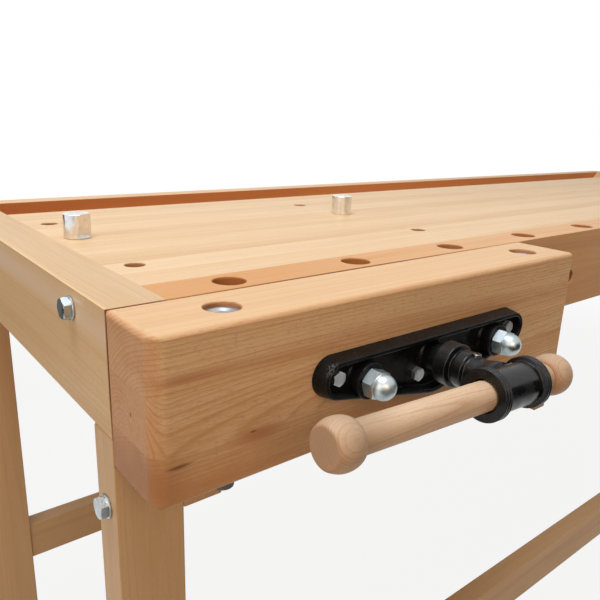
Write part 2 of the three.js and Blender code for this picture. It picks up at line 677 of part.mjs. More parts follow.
// Hub: a flanged neck on the spindle, flaring into a ringed barrel across it that takes the handle.
function hub() {
  const start = SPINDLE_BOSS_REACH + RUN_GAP;
  const flangeEnd = start + HUB_FLANGE_LENGTH;
  const ringStart = flangeEnd + HUB_GROOVE_WIDTH;
  const ringEnd = ringStart + HUB_RING_LENGTH;
  const flareEnd = HUB_REACH - HANDLE_RADIUS;
  const neckEnd = (ringEnd + flareEnd) / 2;
  const neck = turned(
    [
      [0, start],
      [HUB_FLANGE_RADIUS, start],
      [HUB_FLANGE_RADIUS, flangeEnd],
      [HUB_NECK_RADIUS, flangeEnd],
      [HUB_RING_RADIUS, ringStart],
      [HUB_RING_RADIUS, ringEnd],
      [HUB_NECK_RADIUS, ringEnd],
      [HUB_NECK_RADIUS, neckEnd],
      [BARREL_RADIUS, flareEnd],
      [0, HUB_REACH],
    ],
    [0, jawFront, 0],
    [0, -1, 0],
  );
  const barrelStart = BARREL_OFFSET - BARREL_LENGTH / 2;
  const inner = BARREL_LENGTH - BARREL_RING_WIDTH;
  const barrel = turned(
    [
      [0, 0],
      [BARREL_RING_RADIUS, 0],
      [BARREL_RING_RADIUS, BARREL_RING_WIDTH],
      [BARREL_RADIUS, BARREL_RING_WIDTH],
      [BARREL_RADIUS, inner],
      [BARREL_RING_RADIUS, inner],
      [BARREL_RING_RADIUS, BARREL_LENGTH],
      [0, BARREL_LENGTH],
    ],
    [barrelStart, jawFront - HUB_REACH, 0],
    [1, 0, 0],
  );
  const handleHole = bore(
    HANDLE_RADIUS + HANDLE_PLAY,
    [barrelStart - CUT_OVERRUN, jawFront - HUB_REACH, 0],
    [barrelStart + BARREL_LENGTH + CUT_OVERRUN, jawFront - HUB_REACH, 0],
    ROUND_SIDES,
  );
  const socketEnd = jawFront - SPINDLE_BOSS_REACH - HUB_SOCKET_DEPTH - FIT_GAP;
  const socket = bore(SPINDLE_NOSE_RADIUS + FIT_GAP, [0, jawFront, 0], [0, socketEnd, 0]);
  const grubPlace = jawFront - GRUB_SCREW_REACH;
  const grubHole = bore(GRUB_SCREW_RADIUS + FIT_GAP, [0, grubPlace, 0], [0, grubPlace, HUB_FLANGE_RADIUS]);
  return shaped(neck, { joins: [barrel], cuts: [handleHole, socket, grubHole] });
}

// Grub screw through the neck, with its point on the spindle.
function grubScrew() {
  const y = jawFront - GRUB_SCREW_REACH;
  return bar(GRUB_SCREW_RADIUS, [0, y, SPINDLE_NOSE_RADIUS + SEAT_GAP], [0, y, GRUB_SCREW_TOP], BORE_SIDES);
}

// Turned knob from its flat end face to its shoulder on the bar.
function knobProfile() {
  const profile = [[0, 0]];
  for (let i = 0; i <= EDGE_STEPS; i += 1) {
    const angle = ((i / EDGE_STEPS) * Math.PI) / 2;
    const radius = KNOB_FACE_RADIUS + (KNOB_RADIUS - KNOB_FACE_RADIUS) * Math.sin(angle);
    profile.push([radius, KNOB_CROWN * (1 - Math.cos(angle))]);
  }
  for (let i = 1; i <= EDGE_STEPS; i += 1) {
    const angle = ((i / EDGE_STEPS) * Math.PI) / 2;
    const radius = HANDLE_RADIUS + (KNOB_RADIUS - HANDLE_RADIUS) * Math.cos(angle);
    profile.push([radius, KNOB_CROWN + (KNOB_LENGTH - KNOB_CROWN) * Math.sin(angle)]);
  }
  return profile;
}

// Handle bar with one knob turned on it and a tenon for the other.
function handleBar(slide) {
  const shoulder = HANDLE_LENGTH - KNOB_LENGTH;
  const tenonEnd = shoulder + HANDLE_TENON_LENGTH;
  const profile = [
    ...knobProfile(),
    [HANDLE_RADIUS, shoulder],
    [HANDLE_TENON_RADIUS, shoulder],
    [HANDLE_TENON_RADIUS, tenonEnd],
    [0, tenonEnd],
  ];
  return turned(profile, [slide - HANDLE_LENGTH / 2, jawFront - HUB_REACH, -handleSag], [1, 0, 0]);
}

function handleKnob(slide) {
  const end = slide + HANDLE_LENGTH / 2;
  const shoulder = end - KNOB_LENGTH + FIT_GAP;
  const onAxis = (x) => [x, jawFront - HUB_REACH, -handleSag];
  const profile = [...knobProfile(), [0, KNOB_LENGTH]];
  const blank = turned(profile, onAxis(end + FIT_GAP), [-1, 0, 0]);
  const socketEnd = shoulder + HANDLE_TENON_LENGTH + FIT_GAP;
  const socket = bore(HANDLE_TENON_RADIUS + FIT_GAP, onAxis(shoulder - CUT_OVERRUN), onAxis(socketEnd));
  return shaped(blank, { cuts: [socket] });
}

// One whole vise in its own frame.
function vise({ name, frame, bearing, dogPlaces, screwPlaces, handleSlide }) {
  const group = new THREE.Group();
  group.applyMatrix4(frame);
  const rearEnd = bearing + HOUSING_LENGTH + JAW_TRAVEL + ROD_SPARE;
  addPiece(group, name + "_jaw", jaw(dogPlaces, screwPlaces), BEECH);
  addPiece(group, name + "_vise_plate", visePlate(screwPlaces), BLACK_IRON);
  screwPlaces.forEach(([x, z], i) => {
    addPiece(group, name + "_plate_screw_" + (i + 1), plateScrew(x, z), ZINC);
  });
  for (const [side, x] of [
    ["left", -ROD_SPREAD],
    ["right", ROD_SPREAD],
  ]) {
    addPiece(group, name + "_guide_rod_" + side, guideRod(x, rearEnd), BRIGHT_STEEL);
    addPiece(group, name + "_cap_nut_" + side, capNut(x), BRIGHT_STEEL);
  }
  addPiece(group, name + "_nut_housing", nutHousing(bearing), BLACK_IRON);
  dogPlaces.forEach((x, i) => {
    const body = dog(JAW_HEIGHT - dogSeatDepth + JAW_DOG_TAIL, JAW_DOG_TURN);
    body.translate(x, jawFront + JAW_THICKNESS / 2, SCREW_DROP - dogSeatDepth + SEAT_GAP);
    addPiece(group, name + "_jaw_dog_" + (i + 1), body, BRIGHT_STEEL);
  });
  addPiece(group, name + "_spindle", spindle(rearEnd), BRIGHT_STEEL);

  const turning = new THREE.Group();
  turning.rotation.y = THREE.MathUtils.degToRad(HANDLE_TILT);
  addPiece(turning, name + "_hub", hub(), BLACK_IRON);
  addPiece(turning, name + "_grub_screw", grubScrew(), ZINC);
  addPiece(turning, name + "_handle_bar", handleBar(handleSlide), PALE_BEECH);
  addPiece(turning, name + "_handle_knob", handleKnob(handleSlide), PALE_BEECH);
  group.add(turning);
  return group;
}

const bench = new THREE.Group();
addTop(bench);
addBase(bench);
smallHoleColumns.forEach((x, i) => {
  const body = dog(BENCH_DOG_SHANK, BENCH_DOG_TURNS[i]);
  body.translate(x, SMALL_HOLE_ROWS[STANDING_DOG_ROW], topLevel + SEAT_GAP);
  addPiece(bench, "bench_dog_" + ["left", "right"][i], body, BRIGHT_STEEL);
});

const screwPlaces = plateScrewPlaces();
bench.add(
  vise({
    name: "front",
    frame: frontFrame,
    bearing: BEAM_THICKNESS,
    dogPlaces: [-JAW_DOG_SPREAD, JAW_DOG_SPREAD],
    screwPlaces,
    handleSlide: FRONT_HANDLE_SLIDE,
  }),
  vise({
    name: "end",
    frame: endFrame,
    bearing: END_CAP_WIDTH,
    dogPlaces: [beamCentre - VISE_OFFSET],
    screwPlaces,
    handleSlide: END_HANDLE_SLIDE,
  }),
);

// The part's frame: origin on the floor, under the middle of the whole bench.
const extent = new THREE.Box3().setFromObject(bench);
const centre = extent.getCenter(new THREE.Vector3());
bench.position.set(-centre.x, -centre.y, -extent.min.z);

export default bench;
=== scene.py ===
import json
import math

import bmesh
import bpy
from mathutils import Matrix, Vector


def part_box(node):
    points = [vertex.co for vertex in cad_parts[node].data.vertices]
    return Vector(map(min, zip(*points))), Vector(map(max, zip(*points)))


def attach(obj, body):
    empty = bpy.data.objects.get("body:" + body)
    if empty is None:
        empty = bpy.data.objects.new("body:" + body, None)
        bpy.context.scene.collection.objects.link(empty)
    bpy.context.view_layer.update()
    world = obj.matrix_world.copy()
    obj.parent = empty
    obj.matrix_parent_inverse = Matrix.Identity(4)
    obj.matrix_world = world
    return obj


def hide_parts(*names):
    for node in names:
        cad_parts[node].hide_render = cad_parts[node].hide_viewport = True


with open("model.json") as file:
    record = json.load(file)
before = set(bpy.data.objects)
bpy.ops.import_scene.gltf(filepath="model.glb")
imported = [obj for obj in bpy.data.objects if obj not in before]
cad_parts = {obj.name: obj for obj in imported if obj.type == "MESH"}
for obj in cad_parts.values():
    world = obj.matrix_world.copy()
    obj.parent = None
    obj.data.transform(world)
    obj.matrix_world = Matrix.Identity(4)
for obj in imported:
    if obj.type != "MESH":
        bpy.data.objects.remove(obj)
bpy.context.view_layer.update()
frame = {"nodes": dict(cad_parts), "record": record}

# A woodworking bench with a front vise and an end vise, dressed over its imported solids. Lengths in metres.
MM = 0.001
X, Y, Z = range(3)
UP = Vector((0, 0, 1))

# Clearances, how far a cutter runs past a face, and the usual chamfer and eased corner of metal
SEAT_GAP = 0.3 * MM
HEAD_GAP = 0.2 * MM
HUB_GAP = 0.35 * MM
OVERRUN = 1 * MM
CHAMFER = 1 * MM
METAL_EASE = 1.2 * MM

# Wood
BOARD_EDGE = 0.7 * MM
PANEL_EDGE = 0.15 * MM
OUTER_EDGE = 1.6 * MM
HOLE_EDGE = 0.6 * MM
BEAM_EDGE = 0.6 * MM
JAW_BACK_EDGE = 0.5 * MM
JAW_FRONT_ROUND = 4.5 * MM
JAW_CORNER_ROUND = 5 * MM
JAW_LEFT_ROUND = 12.5 * MM
LAMINATION = 44.6 * MM
# Half-width of the painted shade along the seams where the jaw meets the bench
SEAM_SHADE_WIDTH = 1.3 * MM
# How far into the rail the painted shade of its inner face reaches
TRAY_SHADE_DEPTH = 1 * MM
DOG_SEAT_RADIUS = 15 * MM
DOG_SEAT_DEPTH = 31 * MM
DOG_BORE_RADIUS = 9.8 * MM
PEG_HOLE_RADIUS = 9.5 * MM
ROD_BORE_RADIUS = 11.35 * MM
COLLAR_BORE_RADIUS = 17.35 * MM
COLLAR_BORE_DEPTH = 8.6 * MM

# Dogs
DOG_HEAD_RADIUS = 14.7 * MM
DOG_HEAD_HEIGHT = 27 * MM
DOG_SHANK_RADIUS = 9.5 * MM
DOG_FLAT_DEPTH = 2.6 * MM
DOG_FLAT_LEAN = math.radians(7)
DOG_FLAT_FOOT = 1 * MM
DOG_DISH_RADIUS = 9.6 * MM
DOG_DISH_DEPTH = 1.8 * MM
DOG_EASE = 0.8 * MM
DOG_CUTTER_RISE = 5 * MM
DOG_FOOT_SLICE = 0.05 * MM
DOG_TURNS = {
    "bench_dog_left": -60,
    "bench_dog_right": -12,
    "front_jaw_dog_1": 90,
    "front_jaw_dog_2": 90,
    "end_jaw_dog_1": 180,
}

# Hex bolts and screws; seat, crown and face are radii in shares of half the width across the flats
BOLT_ACROSS = 17 * MM
BOLT_HEAD = 6.4 * MM
BOLT_RADIUS = 5 * MM
WASHER_RADIUS = 10.5 * MM
WASHER_THICKNESS = 2 * MM
PLATE_SCREW_ACROSS = 12 * MM
PLATE_SCREW_HEAD = 5.3 * MM
PLATE_SCREW_RADIUS = 4 * MM
PLATE_SCREW_GRIP = 45.7 * MM
HEX_CHAMFER = math.tan(math.radians(30))
HEX_SEAT = 1.02
HEX_CROWN = 0.94
HEX_FACE = 0.6
HEX_FOOT = 0.2 * MM
SCREW_TIP_EASE = 0.6 * MM
WASHER_EASE = 0.4 * MM

# Guide rods, spindle and nut housing
ROD_SPREAD = 88 * MM
RODS = [("left", -ROD_SPREAD), ("right", ROD_SPREAD)]
ROD_RADIUS = 11 * MM
ROD_THREAD_RADIUS = 8 * MM
SPINDLE_RADIUS = 11 * MM
THREAD_ROOT = 8.6 * MM
SPINDLE_LEAD = 6 * MM
NOSE_RADIUS = 9 * MM
NOSE_EASE = 0.8 * MM
THREAD_FLANK = 1.6
COLLAR_RADIUS = 17 * MM
COLLAR_LENGTH = 8 * MM
SLEEVE_RADIUS = 17 * MM
SLEEVE_SPREAD = 3 * MM
SLEEVE_ROOT = 1 * MM
SLEEVE_SINK = 0.5 * MM
SLEEVE_EASE = 1.5 * MM
NUT_RADIUS = 19 * MM
HOUSING_FLANGE = 10 * MM
HOUSING_EDGE = 2 * MM

# Cast plate
PLATE_LENGTH = 275 * MM
PLATE_END_RADIUS = 18.6 * MM
PLATE_END_RISE = 6.5 * MM
BELLY_DROP = 36 * MM
BELLY_RADIUS = 48 * MM
PLATE_DEPTH = 15 * MM
PLATE_FLOOR = 5.5 * MM
PLATE_RIM = 4 * MM
PLATE_DRAFT = 2.4 * MM
POCKET_DRAFT = 0.8 * MM
PLATE_EASE = 1.4 * MM
FLOOR_EASE = 1.6 * MM
BOSS_SPREAD = 2.2 * MM
BOSS_ROOT = 2 * MM
BOSS_SINK = 0.3 * MM
BOSS_RISE = 2 * MM
ROD_BOSS_RADIUS = 16 * MM
ROD_BOSS_REACH = 18.5 * MM
SPINDLE_BOSS_RADIUS = 14.6 * MM
SPINDLE_BOSS_REACH = 23.7 * MM
PLATE_SCREWS = [(-117 * MM, 6.5 * MM), (117 * MM, 6.5 * MM), (-19 * MM, -13 * MM), (19 * MM, -13 * MM)]

# Cap nuts
CAP_NUT_ACROSS = 23 * MM
CAP_NUT_HEX = 11 * MM
DOME_RADIUS = 11.2 * MM
DOME_CENTRE = 12.5 * MM
LIP_WIDTH = 0.15 * MM
LIP_HEIGHT = 0.6 * MM
CAP_NUT_TURN = math.radians(13)

# Hub and handle
HUB_REACH = 90 * MM
HUB_FLANGE_RADIUS = 20 * MM
HUB_FLANGE_END = 38 * MM
HUB_RING_RADIUS = 17 * MM
HUB_RING_START = 41.5 * MM
HUB_RING_END = 51.5 * MM
HUB_NECK_RADIUS = 14.5 * MM
HUB_NECK_END = 62 * MM
HUB_SOCKET_END = 64 * MM
HUB_EASE = 1.3 * MM
BARREL_RADIUS = 18.5 * MM
BARREL_LENGTH = 65 * MM
BARREL_OFFSET = -5 * MM
END_RING_RADIUS = 22 * MM
END_RING_WIDTH = 9 * MM
BARREL_BORE_RADIUS = 13.3 * MM
BARREL_EASE = 0.9 * MM
MOUTH_OVERRUN = 2 * MM
GROOVE_SHARES = (0.30, 0.66)
GROOVE_DEPTH = 0.9 * MM
GROOVE_WIDTH = 1.5 * MM
GRUB_RADIUS = 3.5 * MM
GRUB_EASE = 0.5 * MM
GRUB_TOP = 17.3 * MM
GRUB_REACH = 55 * MM
KEY_ACROSS = 3.2 * MM
KEY_DEPTH = 2.5 * MM
KEY_POINT = 0.4 * MM
HANDLE_LENGTH = 276 * MM
HANDLE_RADIUS = 12.4 * MM
HANDLE_TILT = math.radians(3)
HANDLE_SAG = 0.6 * MM
TENON_RADIUS = 8 * MM
TENON_LENGTH = 16 * MM
HANDLE_SLIDES = {"front": -64 * MM, "end": 0.0}
KNOB_RADIUS = 18.5 * MM
KNOB_FACE_RADIUS = 14.8 * MM
KNOB_LENGTH = 25 * MM
KNOB_CROWN = 12 * MM
KNOB_FACE_ROUND = 1.5 * MM
KNOB_FACE_REACH = 2.3
KNOB_LEAST_STEP = 0.1 * MM

# Fineness of round work and eased edges
FINE_SIDES = 64
NUT_SIDES = 60
SCREW_SIDES = 48
SMALL_SIDES = 36
THREAD_SIDES = 24
THREAD_RINGS = 10
END_STEPS = 18
BELLY_STEPS = 24
CURVE_STEPS = 10
ARC_STEPS = 5
FEW_STEPS = 3
EDGE_STEPS = 2
BEAM_STEPS = 4
JAW_STEPS = 8
CORNER_SHARE = 0.45
POINT_RADIUS = 1e-6
SAME_POINT = 0.01 * MM
FLAT_ANGLE = math.radians(1)
SHARP_ANGLE = math.radians(38)
BROAD_FACE = 800 * MM ** 2

RECORD = frame["record"]
BODY_OF = {node: body for body, nodes in RECORD["behaviour"]["bodies"].items() for node in nodes}
OPENINGS = {opening["name"]: opening["box_m"] for opening in RECORD["physics"]["openings"]}


# Meshes

def ring_mesh(rings):
    """Closed mesh through rings of points; a ring of one point is a pole, and an open end gets a cap."""
    bm = bmesh.new()
    loops = [[bm.verts.new(point) for point in ring] for ring in rings]
    for low, high in zip(loops, loops[1:]):
        count = max(len(low), len(high))
        for i in range(count):
            j = (i + 1) % count
            corners = [low[i % len(low)], low[j % len(low)], high[j % len(high)], high[i % len(high)]]
            bm.faces.new(list(dict.fromkeys(corners)))
    for end in (loops[0], loops[-1]):
        if len(end) > 1:
            bm.faces.new(end)
    return mesh_from(bm)


def mesh_from(bm):
    bmesh.ops.recalc_face_normals(bm, faces=bm.faces)
    mesh = bpy.data.meshes.new("shape")
    bm.to_mesh(mesh)
    bm.free()
    return mesh


def turns(sides):
    return [2 * math.pi * i / sides for i in range(sides)]


def polar(radius, turn, height):
    return (radius * math.cos(turn), radius * math.sin(turn), height)


def circle(radius, height, sides):
    """Ring of points about Z, or the one point in its middle where the radius is nought."""
    if radius < POINT_RADIUS:
        return [(0, 0, height)]
    return [polar(radius, turn, height) for turn in turns(sides)]


def circles(profile, sides):
    """Rings about Z through pairs of radius and height."""
    return [circle(radius, height, sides) for radius, height in profile]


def hexagon(across, height, sides, chamfer=0.0):
    """Six-sided ring with a corner on +X; a chamfer lowers the corners."""
    points = []
    for turn in turns(sides):
        radius = across / 2 / math.cos(turn % (math.pi / 3) - math.pi / 6)
        drop = chamfer * (radius - across / 2)
        points.append(polar(radius, turn, height - drop))
    return points


def turned(profile, sides=FINE_SIDES):
    """Turned solid about Z through pairs of radius and height."""
    return ring_mesh(circles(profile, sides))


def rounded(profile, radius, steps=ARC_STEPS):
    """The profile with each corner eased into a small curve."""
    points = [Vector(point) for point in profile]
    eased = [points[0]]
    for before, corner, after in zip(points, points[1:], points[2:]):
        back, ahead = before - corner, after - corner
        reach = min(radius, CORNER_SHARE * back.length, CORNER_SHARE * ahead.length)
        start = corner + back.normalized() * reach
        end = corner + ahead.normalized() * reach
        for i in range(steps + 1):
            t = i / steps
            eased.append((1 - t) ** 2 * start + 2 * t * (1 - t) * corner + t * t * end)
    eased.append(points[-1])
    return [tuple(point) for point in eased]


def facing(origin, axis, up):
    """Matrix that sets a shape's Z along an axis and its X upwards, at an origin."""
    axis, up = Vector(axis), Vector(up)
    side = axis.cross(up)
    matrix = Matrix((up, side, axis)).transposed().to_4x4()
    matrix.translation = Vector(origin)
    return matrix


def upright(x, y):
    """Matrix that moves a shape in plan and leaves its heights."""
    return Matrix.Translation((x, y, 0))


def placed(mesh, matrix):
    mesh.transform(matrix)
    return mesh


def new_object(name, data):
    """Object of the scene with a mesh, lamp or camera as its data."""
    made = bpy.data.objects.new(name, data)
    bpy.context.scene.collection.objects.link(made)
    return made


def evaluated(helper):
    """Mesh of an object with its modifiers applied."""
    graph = bpy.context.evaluated_depsgraph_get()
    return bpy.data.meshes.new_from_object(helper.evaluated_get(graph))


def carved(mesh, joins=(), cuts=()):
    """The mesh with other closed meshes joined to it and then others cut away."""
    base = new_object("helper", mesh)
    helpers = []
    for operation, tools in (("UNION", joins), ("DIFFERENCE", cuts)):
        for tool in tools:
            helper = new_object("helper", tool)
            helpers.append(helper)
            change = base.modifiers.new("carve", "BOOLEAN")
            change.operation = operation
            change.solver = "EXACT"
            change.object = helper
    result = evaluated(base)
    for helper in [base, *helpers]:
        bpy.data.objects.remove(helper)
    return result


def plain_edges(_):
    """The full width for every edge."""
    return 1.0


def bevelled(bm, width, segments):
    """Mesh with its edges rounded by their bevel weights' share of a width."""
    helper = new_object("helper", mesh_from(bm))
    bevel = helper.modifiers.new("edges", "BEVEL")
    bevel.limit_method = "WEIGHT"
    bevel.width = width
    bevel.segments = segments
    mesh = evaluated(helper)
    bpy.data.objects.remove(helper)
    return mesh


def block(low, high, weights, width, segments):
    """Box with eased edges; weights gives each edge's share of the width from its middle point."""
    bm = bmesh.new()
    bmesh.ops.create_cube(bm, size=1)
    middle = (low + high) / 2
    for vert in bm.verts:
        vert.co = middle + Vector(a * b for a, b in zip(vert.co, high - low))
    layer = bm.edges.layers.float.new("bevel_weight_edge")
    for edge in bm.edges:
        edge[layer] = weights((edge.verts[0].co + edge.verts[1].co) / 2)
    return bevelled(bm, width, segments)


def eased_copy(node, width, weights=plain_edges):
    """Copy of a board's solid with its outer edges eased by each edge's share of a width."""
    bm = bmesh.new()
    bm.from_mesh(frame["nodes"][node].data)
    bmesh.ops.remove_doubles(bm, verts=bm.verts, dist=SAME_POINT)
    bmesh.ops.dissolve_limit(bm, angle_limit=FLAT_ANGLE, verts=bm.verts, edges=bm.edges)
    layer = bm.edges.layers.float.new("bevel_weight_edge")
    for edge in bm.edges:
        outer = edge.is_convex and edge.calc_face_angle(0) > SHARP_ANGLE
        if outer and min(face.calc_area() for face in edge.link_faces) > BROAD_FACE:
            edge[layer] = weights((edge.verts[0].co + edge.verts[1].co) / 2)
    return bevelled(bm, width, EDGE_STEPS)


def bore(radius, low, high):
    """Cutter of a plain round hole along Z."""
    return turned([(0, low), (radius, low), (radius, high), (0, high)], SMALL_SIDES)


def hole(radius, low, high, flare):
    """Cutter of a round hole up Z, with its upper mouth flared by an edge's width."""
    top = high + flare
    profile = [(0, low), (radius, low), (radius, high - flare), (radius + 2 * flare, top), (0, top)]
    return turned(profile, SMALL_SIDES)


# Pieces

def add_piece(node, mesh, material):
    """Shows a fine mesh in place of a CAD node, on that node's body."""
    mesh.shade_smooth()
    mesh.set_sharp_from_angle(angle=SHARP_ANGLE)
    mesh.materials.clear()
    mesh.materials.append(material)
    mesh.name = node
    piece = new_object(node + "_dressed", mesh)
    normals = piece.modifiers.new("flat_faces", "WEIGHTED_NORMAL")
    normals.keep_sharp = True
    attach(piece, BODY_OF[node])
    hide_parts(node)


# Materials

class Shader:
    """Node tree of one material, or of a world, with short calls for its nodes."""

    def __init__(self, name, kind=bpy.data.materials):
        self.owner = kind.new(name)
        self.owner.use_nodes = True
        self.tree = self.owner.node_tree

    def node(self, kind, inputs=None, **settings):
        made = self.tree.nodes.new("ShaderNode" + kind)
        for key, value in settings.items():
            setattr(made, key, value)
        self.feed(made, inputs or {})
        return made

    def feed(self, node, inputs):
        for key, value in inputs.items():
            if isinstance(value, bpy.types.NodeSocket):
                self.tree.links.new(value, node.inputs[key])
            else:
                node.inputs[key].default_value = value

    def math(self, operation, *values, clamp=False):
        return self.node("Math", dict(enumerate(values)), operation=operation, use_clamp=clamp).outputs[0]

    def vector(self, operation, *values):
        made = self.node("VectorMath", dict(enumerate(values)), operation=operation)
        return made.outputs["Value" if operation == "LENGTH" else "Vector"]

    def offset(self, place, centre, reach):
        """Distance from a centre, counted in its reach along each axis."""
        return self.vector("LENGTH", self.vector("DIVIDE", self.vector("SUBTRACT", place, centre), reach))

    def remap(self, value, low, high, to_low=0.0, to_high=1.0):
        inputs = {0: value, 1: low, 2: high, 3: to_low, 4: to_high}
        return self.node("MapRange", inputs, interpolation_type="SMOOTHSTEP").outputs[0]

    def noise(self, place, scale, detail=2.0, roughness=0.5):
        stretched = self.vector("MULTIPLY", place, scale)
        inputs = {"Vector": stretched, "Scale": 1.0, "Detail": detail, "Roughness": roughness}
        return self.node("TexNoise", inputs).outputs["Fac"]

    def pattern(self, place, scale, detail, roughness, low, high):
        """Noise with the levels from low to high spread over 0 to 1."""
        return self.remap(self.noise(place, scale, detail, roughness), low, high)

    def mix(self, factor, first, second):
        """Mix of two colours, which are inputs 6 and 7 and output 2 of the node."""
        return self.node("Mix", {0: factor, 6: first, 7: second}, data_type="RGBA").outputs[2]

    def ramp(self, value, stops, interpolation="LINEAR"):
        made = self.node("ValToRGB", {0: value})
        made.color_ramp.interpolation = interpolation
        elements = made.color_ramp.elements
        while len(elements) < len(stops):
            elements.new(0.5)
        for element, (position, level) in zip(elements, stops):
            element.position = position
            element.color = (level, level, level, 1)
        return made.outputs["Color"]

    def bump(self, height, strength, distance):
        inputs = {"Height": height, "Strength": strength, "Distance": distance}
        return self.node("Bump", inputs).outputs["Normal"]

    def finish(self, **inputs):
        surface = self.tree.nodes["Principled BSDF"]
        self.feed(surface, {key.replace("_", " "): value for key, value in inputs.items()})
        return self.owner


def colour(red, green, blue):
    return (red, green, blue, 1.0)


RED_STREAK = colour(0.56, 0.24, 0.10)
KNOT_BROWN = colour(0.16, 0.06, 0.025)
# Painted shade of a dog's tail under the bench
TAIL_SHADE_GREY = colour(0.17, 0.17, 0.145)
END_BROWN = colour(0.46, 0.205, 0.075)
# Painted shade deep inside bores
BORE_SHADE = colour(0.45, 0.165, 0.06)
# Painted shade in the seams where the jaw meets the bench
SEAM_SHADE = colour(0.26, 0.095, 0.04)

# Grain patterns: repeats in a metre along the grain and twice across it, detail, roughness and range
FIBRES = ((7.0, 520.0, 520.0), 3.0, 0.6, 0.3, 0.7)
CLOUDS = ((1.3, 26.0, 26.0), 2.0, 0.5, 0.3, 0.7)
FLECKS = ((190.0, 1300.0, 1300.0), 1.0, 0.5, 0.57, 0.67)
STREAKS = ((1.1, 30.0, 42.0), 1.0, 0.5, 0.56, 0.72)
WARP_SCALE = (1.6, 9.0, 9.0)
# A year's tones, as pairs of share and level, and how the years' widths differ
YEAR_TONES = [(0.0, 0.35), (0.12, 0.0), (0.7, 0.25), (0.93, 1.0), (1.0, 0.35)]
SEASON_SCALE = 0.28
SEASON_DRIFT = 2.4
# How far apart in the tree two boards lie, along and across it
SEED_STEP = 0.37
STRIPS_ALONG = 1.3
STRIPS_ACROSS = 0.16
HALF = (0.5, 0.5, 0.5)
USUAL_TONE = 0.5
# Weights of the patterns in the tone
RING_WEIGHT = 0.40
FIBRE_WEIGHT = 0.22
CLOUD_WEIGHT = 0.28
FLECK_WEIGHT = 0.15
RING_LIFT = 0.12
LOWEST_TONE = -0.25
# Spots: the share of their reach that is full, where they end, and how ragged their rims are
SPOT_CORE = 0.3
TINT_RIM = 1.4
KNOT_RIM = 1.2
KNOT_STRENGTH = 0.85
SPOT_RAGGED = 0.5
# Strength of the painted shade in the seams
SEAM_SHADE_STRENGTH = 0.95
# Depth below a board's outside at which the painted shade of a bore begins and is full, and its share
BORE_STARTS = 0.8 * MM
BORE_FULL = 2.4 * MM
BORE_SHARE = 0.72
# How softly the painted shade of an inner face begins, and its share
INNER_SHADE_BLEND = 0.6 * MM
INNER_SHADE_SHARE = 0.8
# Slants at which a face begins to count as level, or as end grain, and fully counts
LEVEL_FACE = (0.5, 0.95)
END_FACE = (0.15, 0.85)
BEECH_ROUGHNESS = (0.42, 0.56)
BEECH_SHEEN = 0.3
# Strength and depth of the relief
BEECH_RELIEF = (0.16, 0.25 * MM)


def glued_strips(s, split, strips, seed):
    """Number and tone of the glued strip at a place, and three random shares of its own about nought."""
    axis, first, pitch, tones = strips
    index = s.math("FLOOR", s.math("DIVIDE", s.math("SUBTRACT", split[axis], first), pitch))
    share = s.math("DIVIDE", s.math("ADD", index, 0.5), float(len(tones)))
    tone = s.ramp(share, [(i / len(tones), level) for i, level in enumerate(tones)], "CONSTANT")
    number = s.math("ADD", index, seed)
    scatter = s.node("TexWhiteNoise", {"W": number}, noise_dimensions="1D").outputs["Color"]
    return index, tone, s.vector("SUBTRACT", scatter, HALF)


def seen_from_heart(s, split, box, grain, seed, heart, strips, hearts):
    """Place in the tree, first along the grain and then across it from the heart, and the strip's tone."""
    low, high = box
    order = [(grain + step) % 3 for step in range(3)]
    across = s.node("CombineXYZ", {i: split[axis] for i, axis in enumerate(order)}).outputs[0]
    tone = USUAL_TONE
    if strips:
        index, tone, scatter = glued_strips(s, split, strips, seed)
        apart = 0.0 if hearts else STRIPS_ACROSS
        across = s.vector("ADD", across, s.vector("MULTIPLY", scatter, (STRIPS_ALONG, apart, apart)))
    if not hearts:
        middle = (low + high) / 2
        shift = (seed * SEED_STEP, -middle[order[1]] - heart[0], -middle[order[2]] - heart[1])
        return s.vector("ADD", across, shift), tone
    along = s.math("SUBTRACT", split[grain], low[grain])
    for i, (centre, slope) in enumerate(hearts):
        chosen = s.math("COMPARE", index, float(i), 0.4)
        lean = s.node("CombineXYZ", {1: s.math("MULTIPLY", along, slope)}).outputs[0]
        moved = s.vector("ADD", lean, (0.0, *centre))
        picked = s.node("VectorMath", {0: moved, 3: chosen}, operation="SCALE").outputs["Vector"]
        across = s.vector("SUBTRACT", across, picked)
    return s.vector("ADD", across, (seed * SEED_STEP, 0.0, 0.0)), tone


def grain_patterns(s, across, ring, wander):
    """Late wood of each year, fibres, broad clouds, ray flecks and red streaks, each from 0 to 1."""
    stretched = s.vector("MULTIPLY", across, WARP_SCALE)
    warp = s.node("TexNoise", {"Vector": stretched, "Scale": 1.0, "Detail": 2.0}).outputs["Color"]
    bend = s.vector("MULTIPLY", s.vector("SUBTRACT", warp, HALF), (0.0, wander, wander))
    bent = s.vector("ADD", across, bend)
    radius = s.vector("LENGTH", s.vector("MULTIPLY", bent, (0.0, 1.0, 1.0)))
    outward = s.node("CombineXYZ", {0: radius}).outputs[0]
    seasons = s.noise(outward, (SEASON_SCALE / ring, 1.0, 1.0), 1.0)
    years = s.math("ADD", s.math("DIVIDE", radius, ring), s.math("MULTIPLY", seasons, SEASON_DRIFT))
    late = s.ramp(s.math("FRACT", years), YEAR_TONES)
    fibres, broad, red = (s.pattern(bent, *values) for values in (FIBRES, CLOUDS, STREAKS))
    return late, fibres, broad, s.pattern(across, *FLECKS), red


def depth_inside(s, place, box):
    """Depth of a place below a board's outside, whose edges are taken as rounded."""
    low, high = box
    from_middle = s.vector("ABSOLUTE", s.vector("SUBTRACT", place, (low + high) / 2))
    core = (high - low) / 2 - Vector((JAW_LEFT_ROUND, JAW_LEFT_ROUND, JAW_LEFT_ROUND))
    beyond = s.vector("MAXIMUM", s.vector("SUBTRACT", from_middle, core), (0.0, 0.0, 0.0))
    return s.math("SUBTRACT", JAW_LEFT_ROUND, s.vector("LENGTH", beyond))


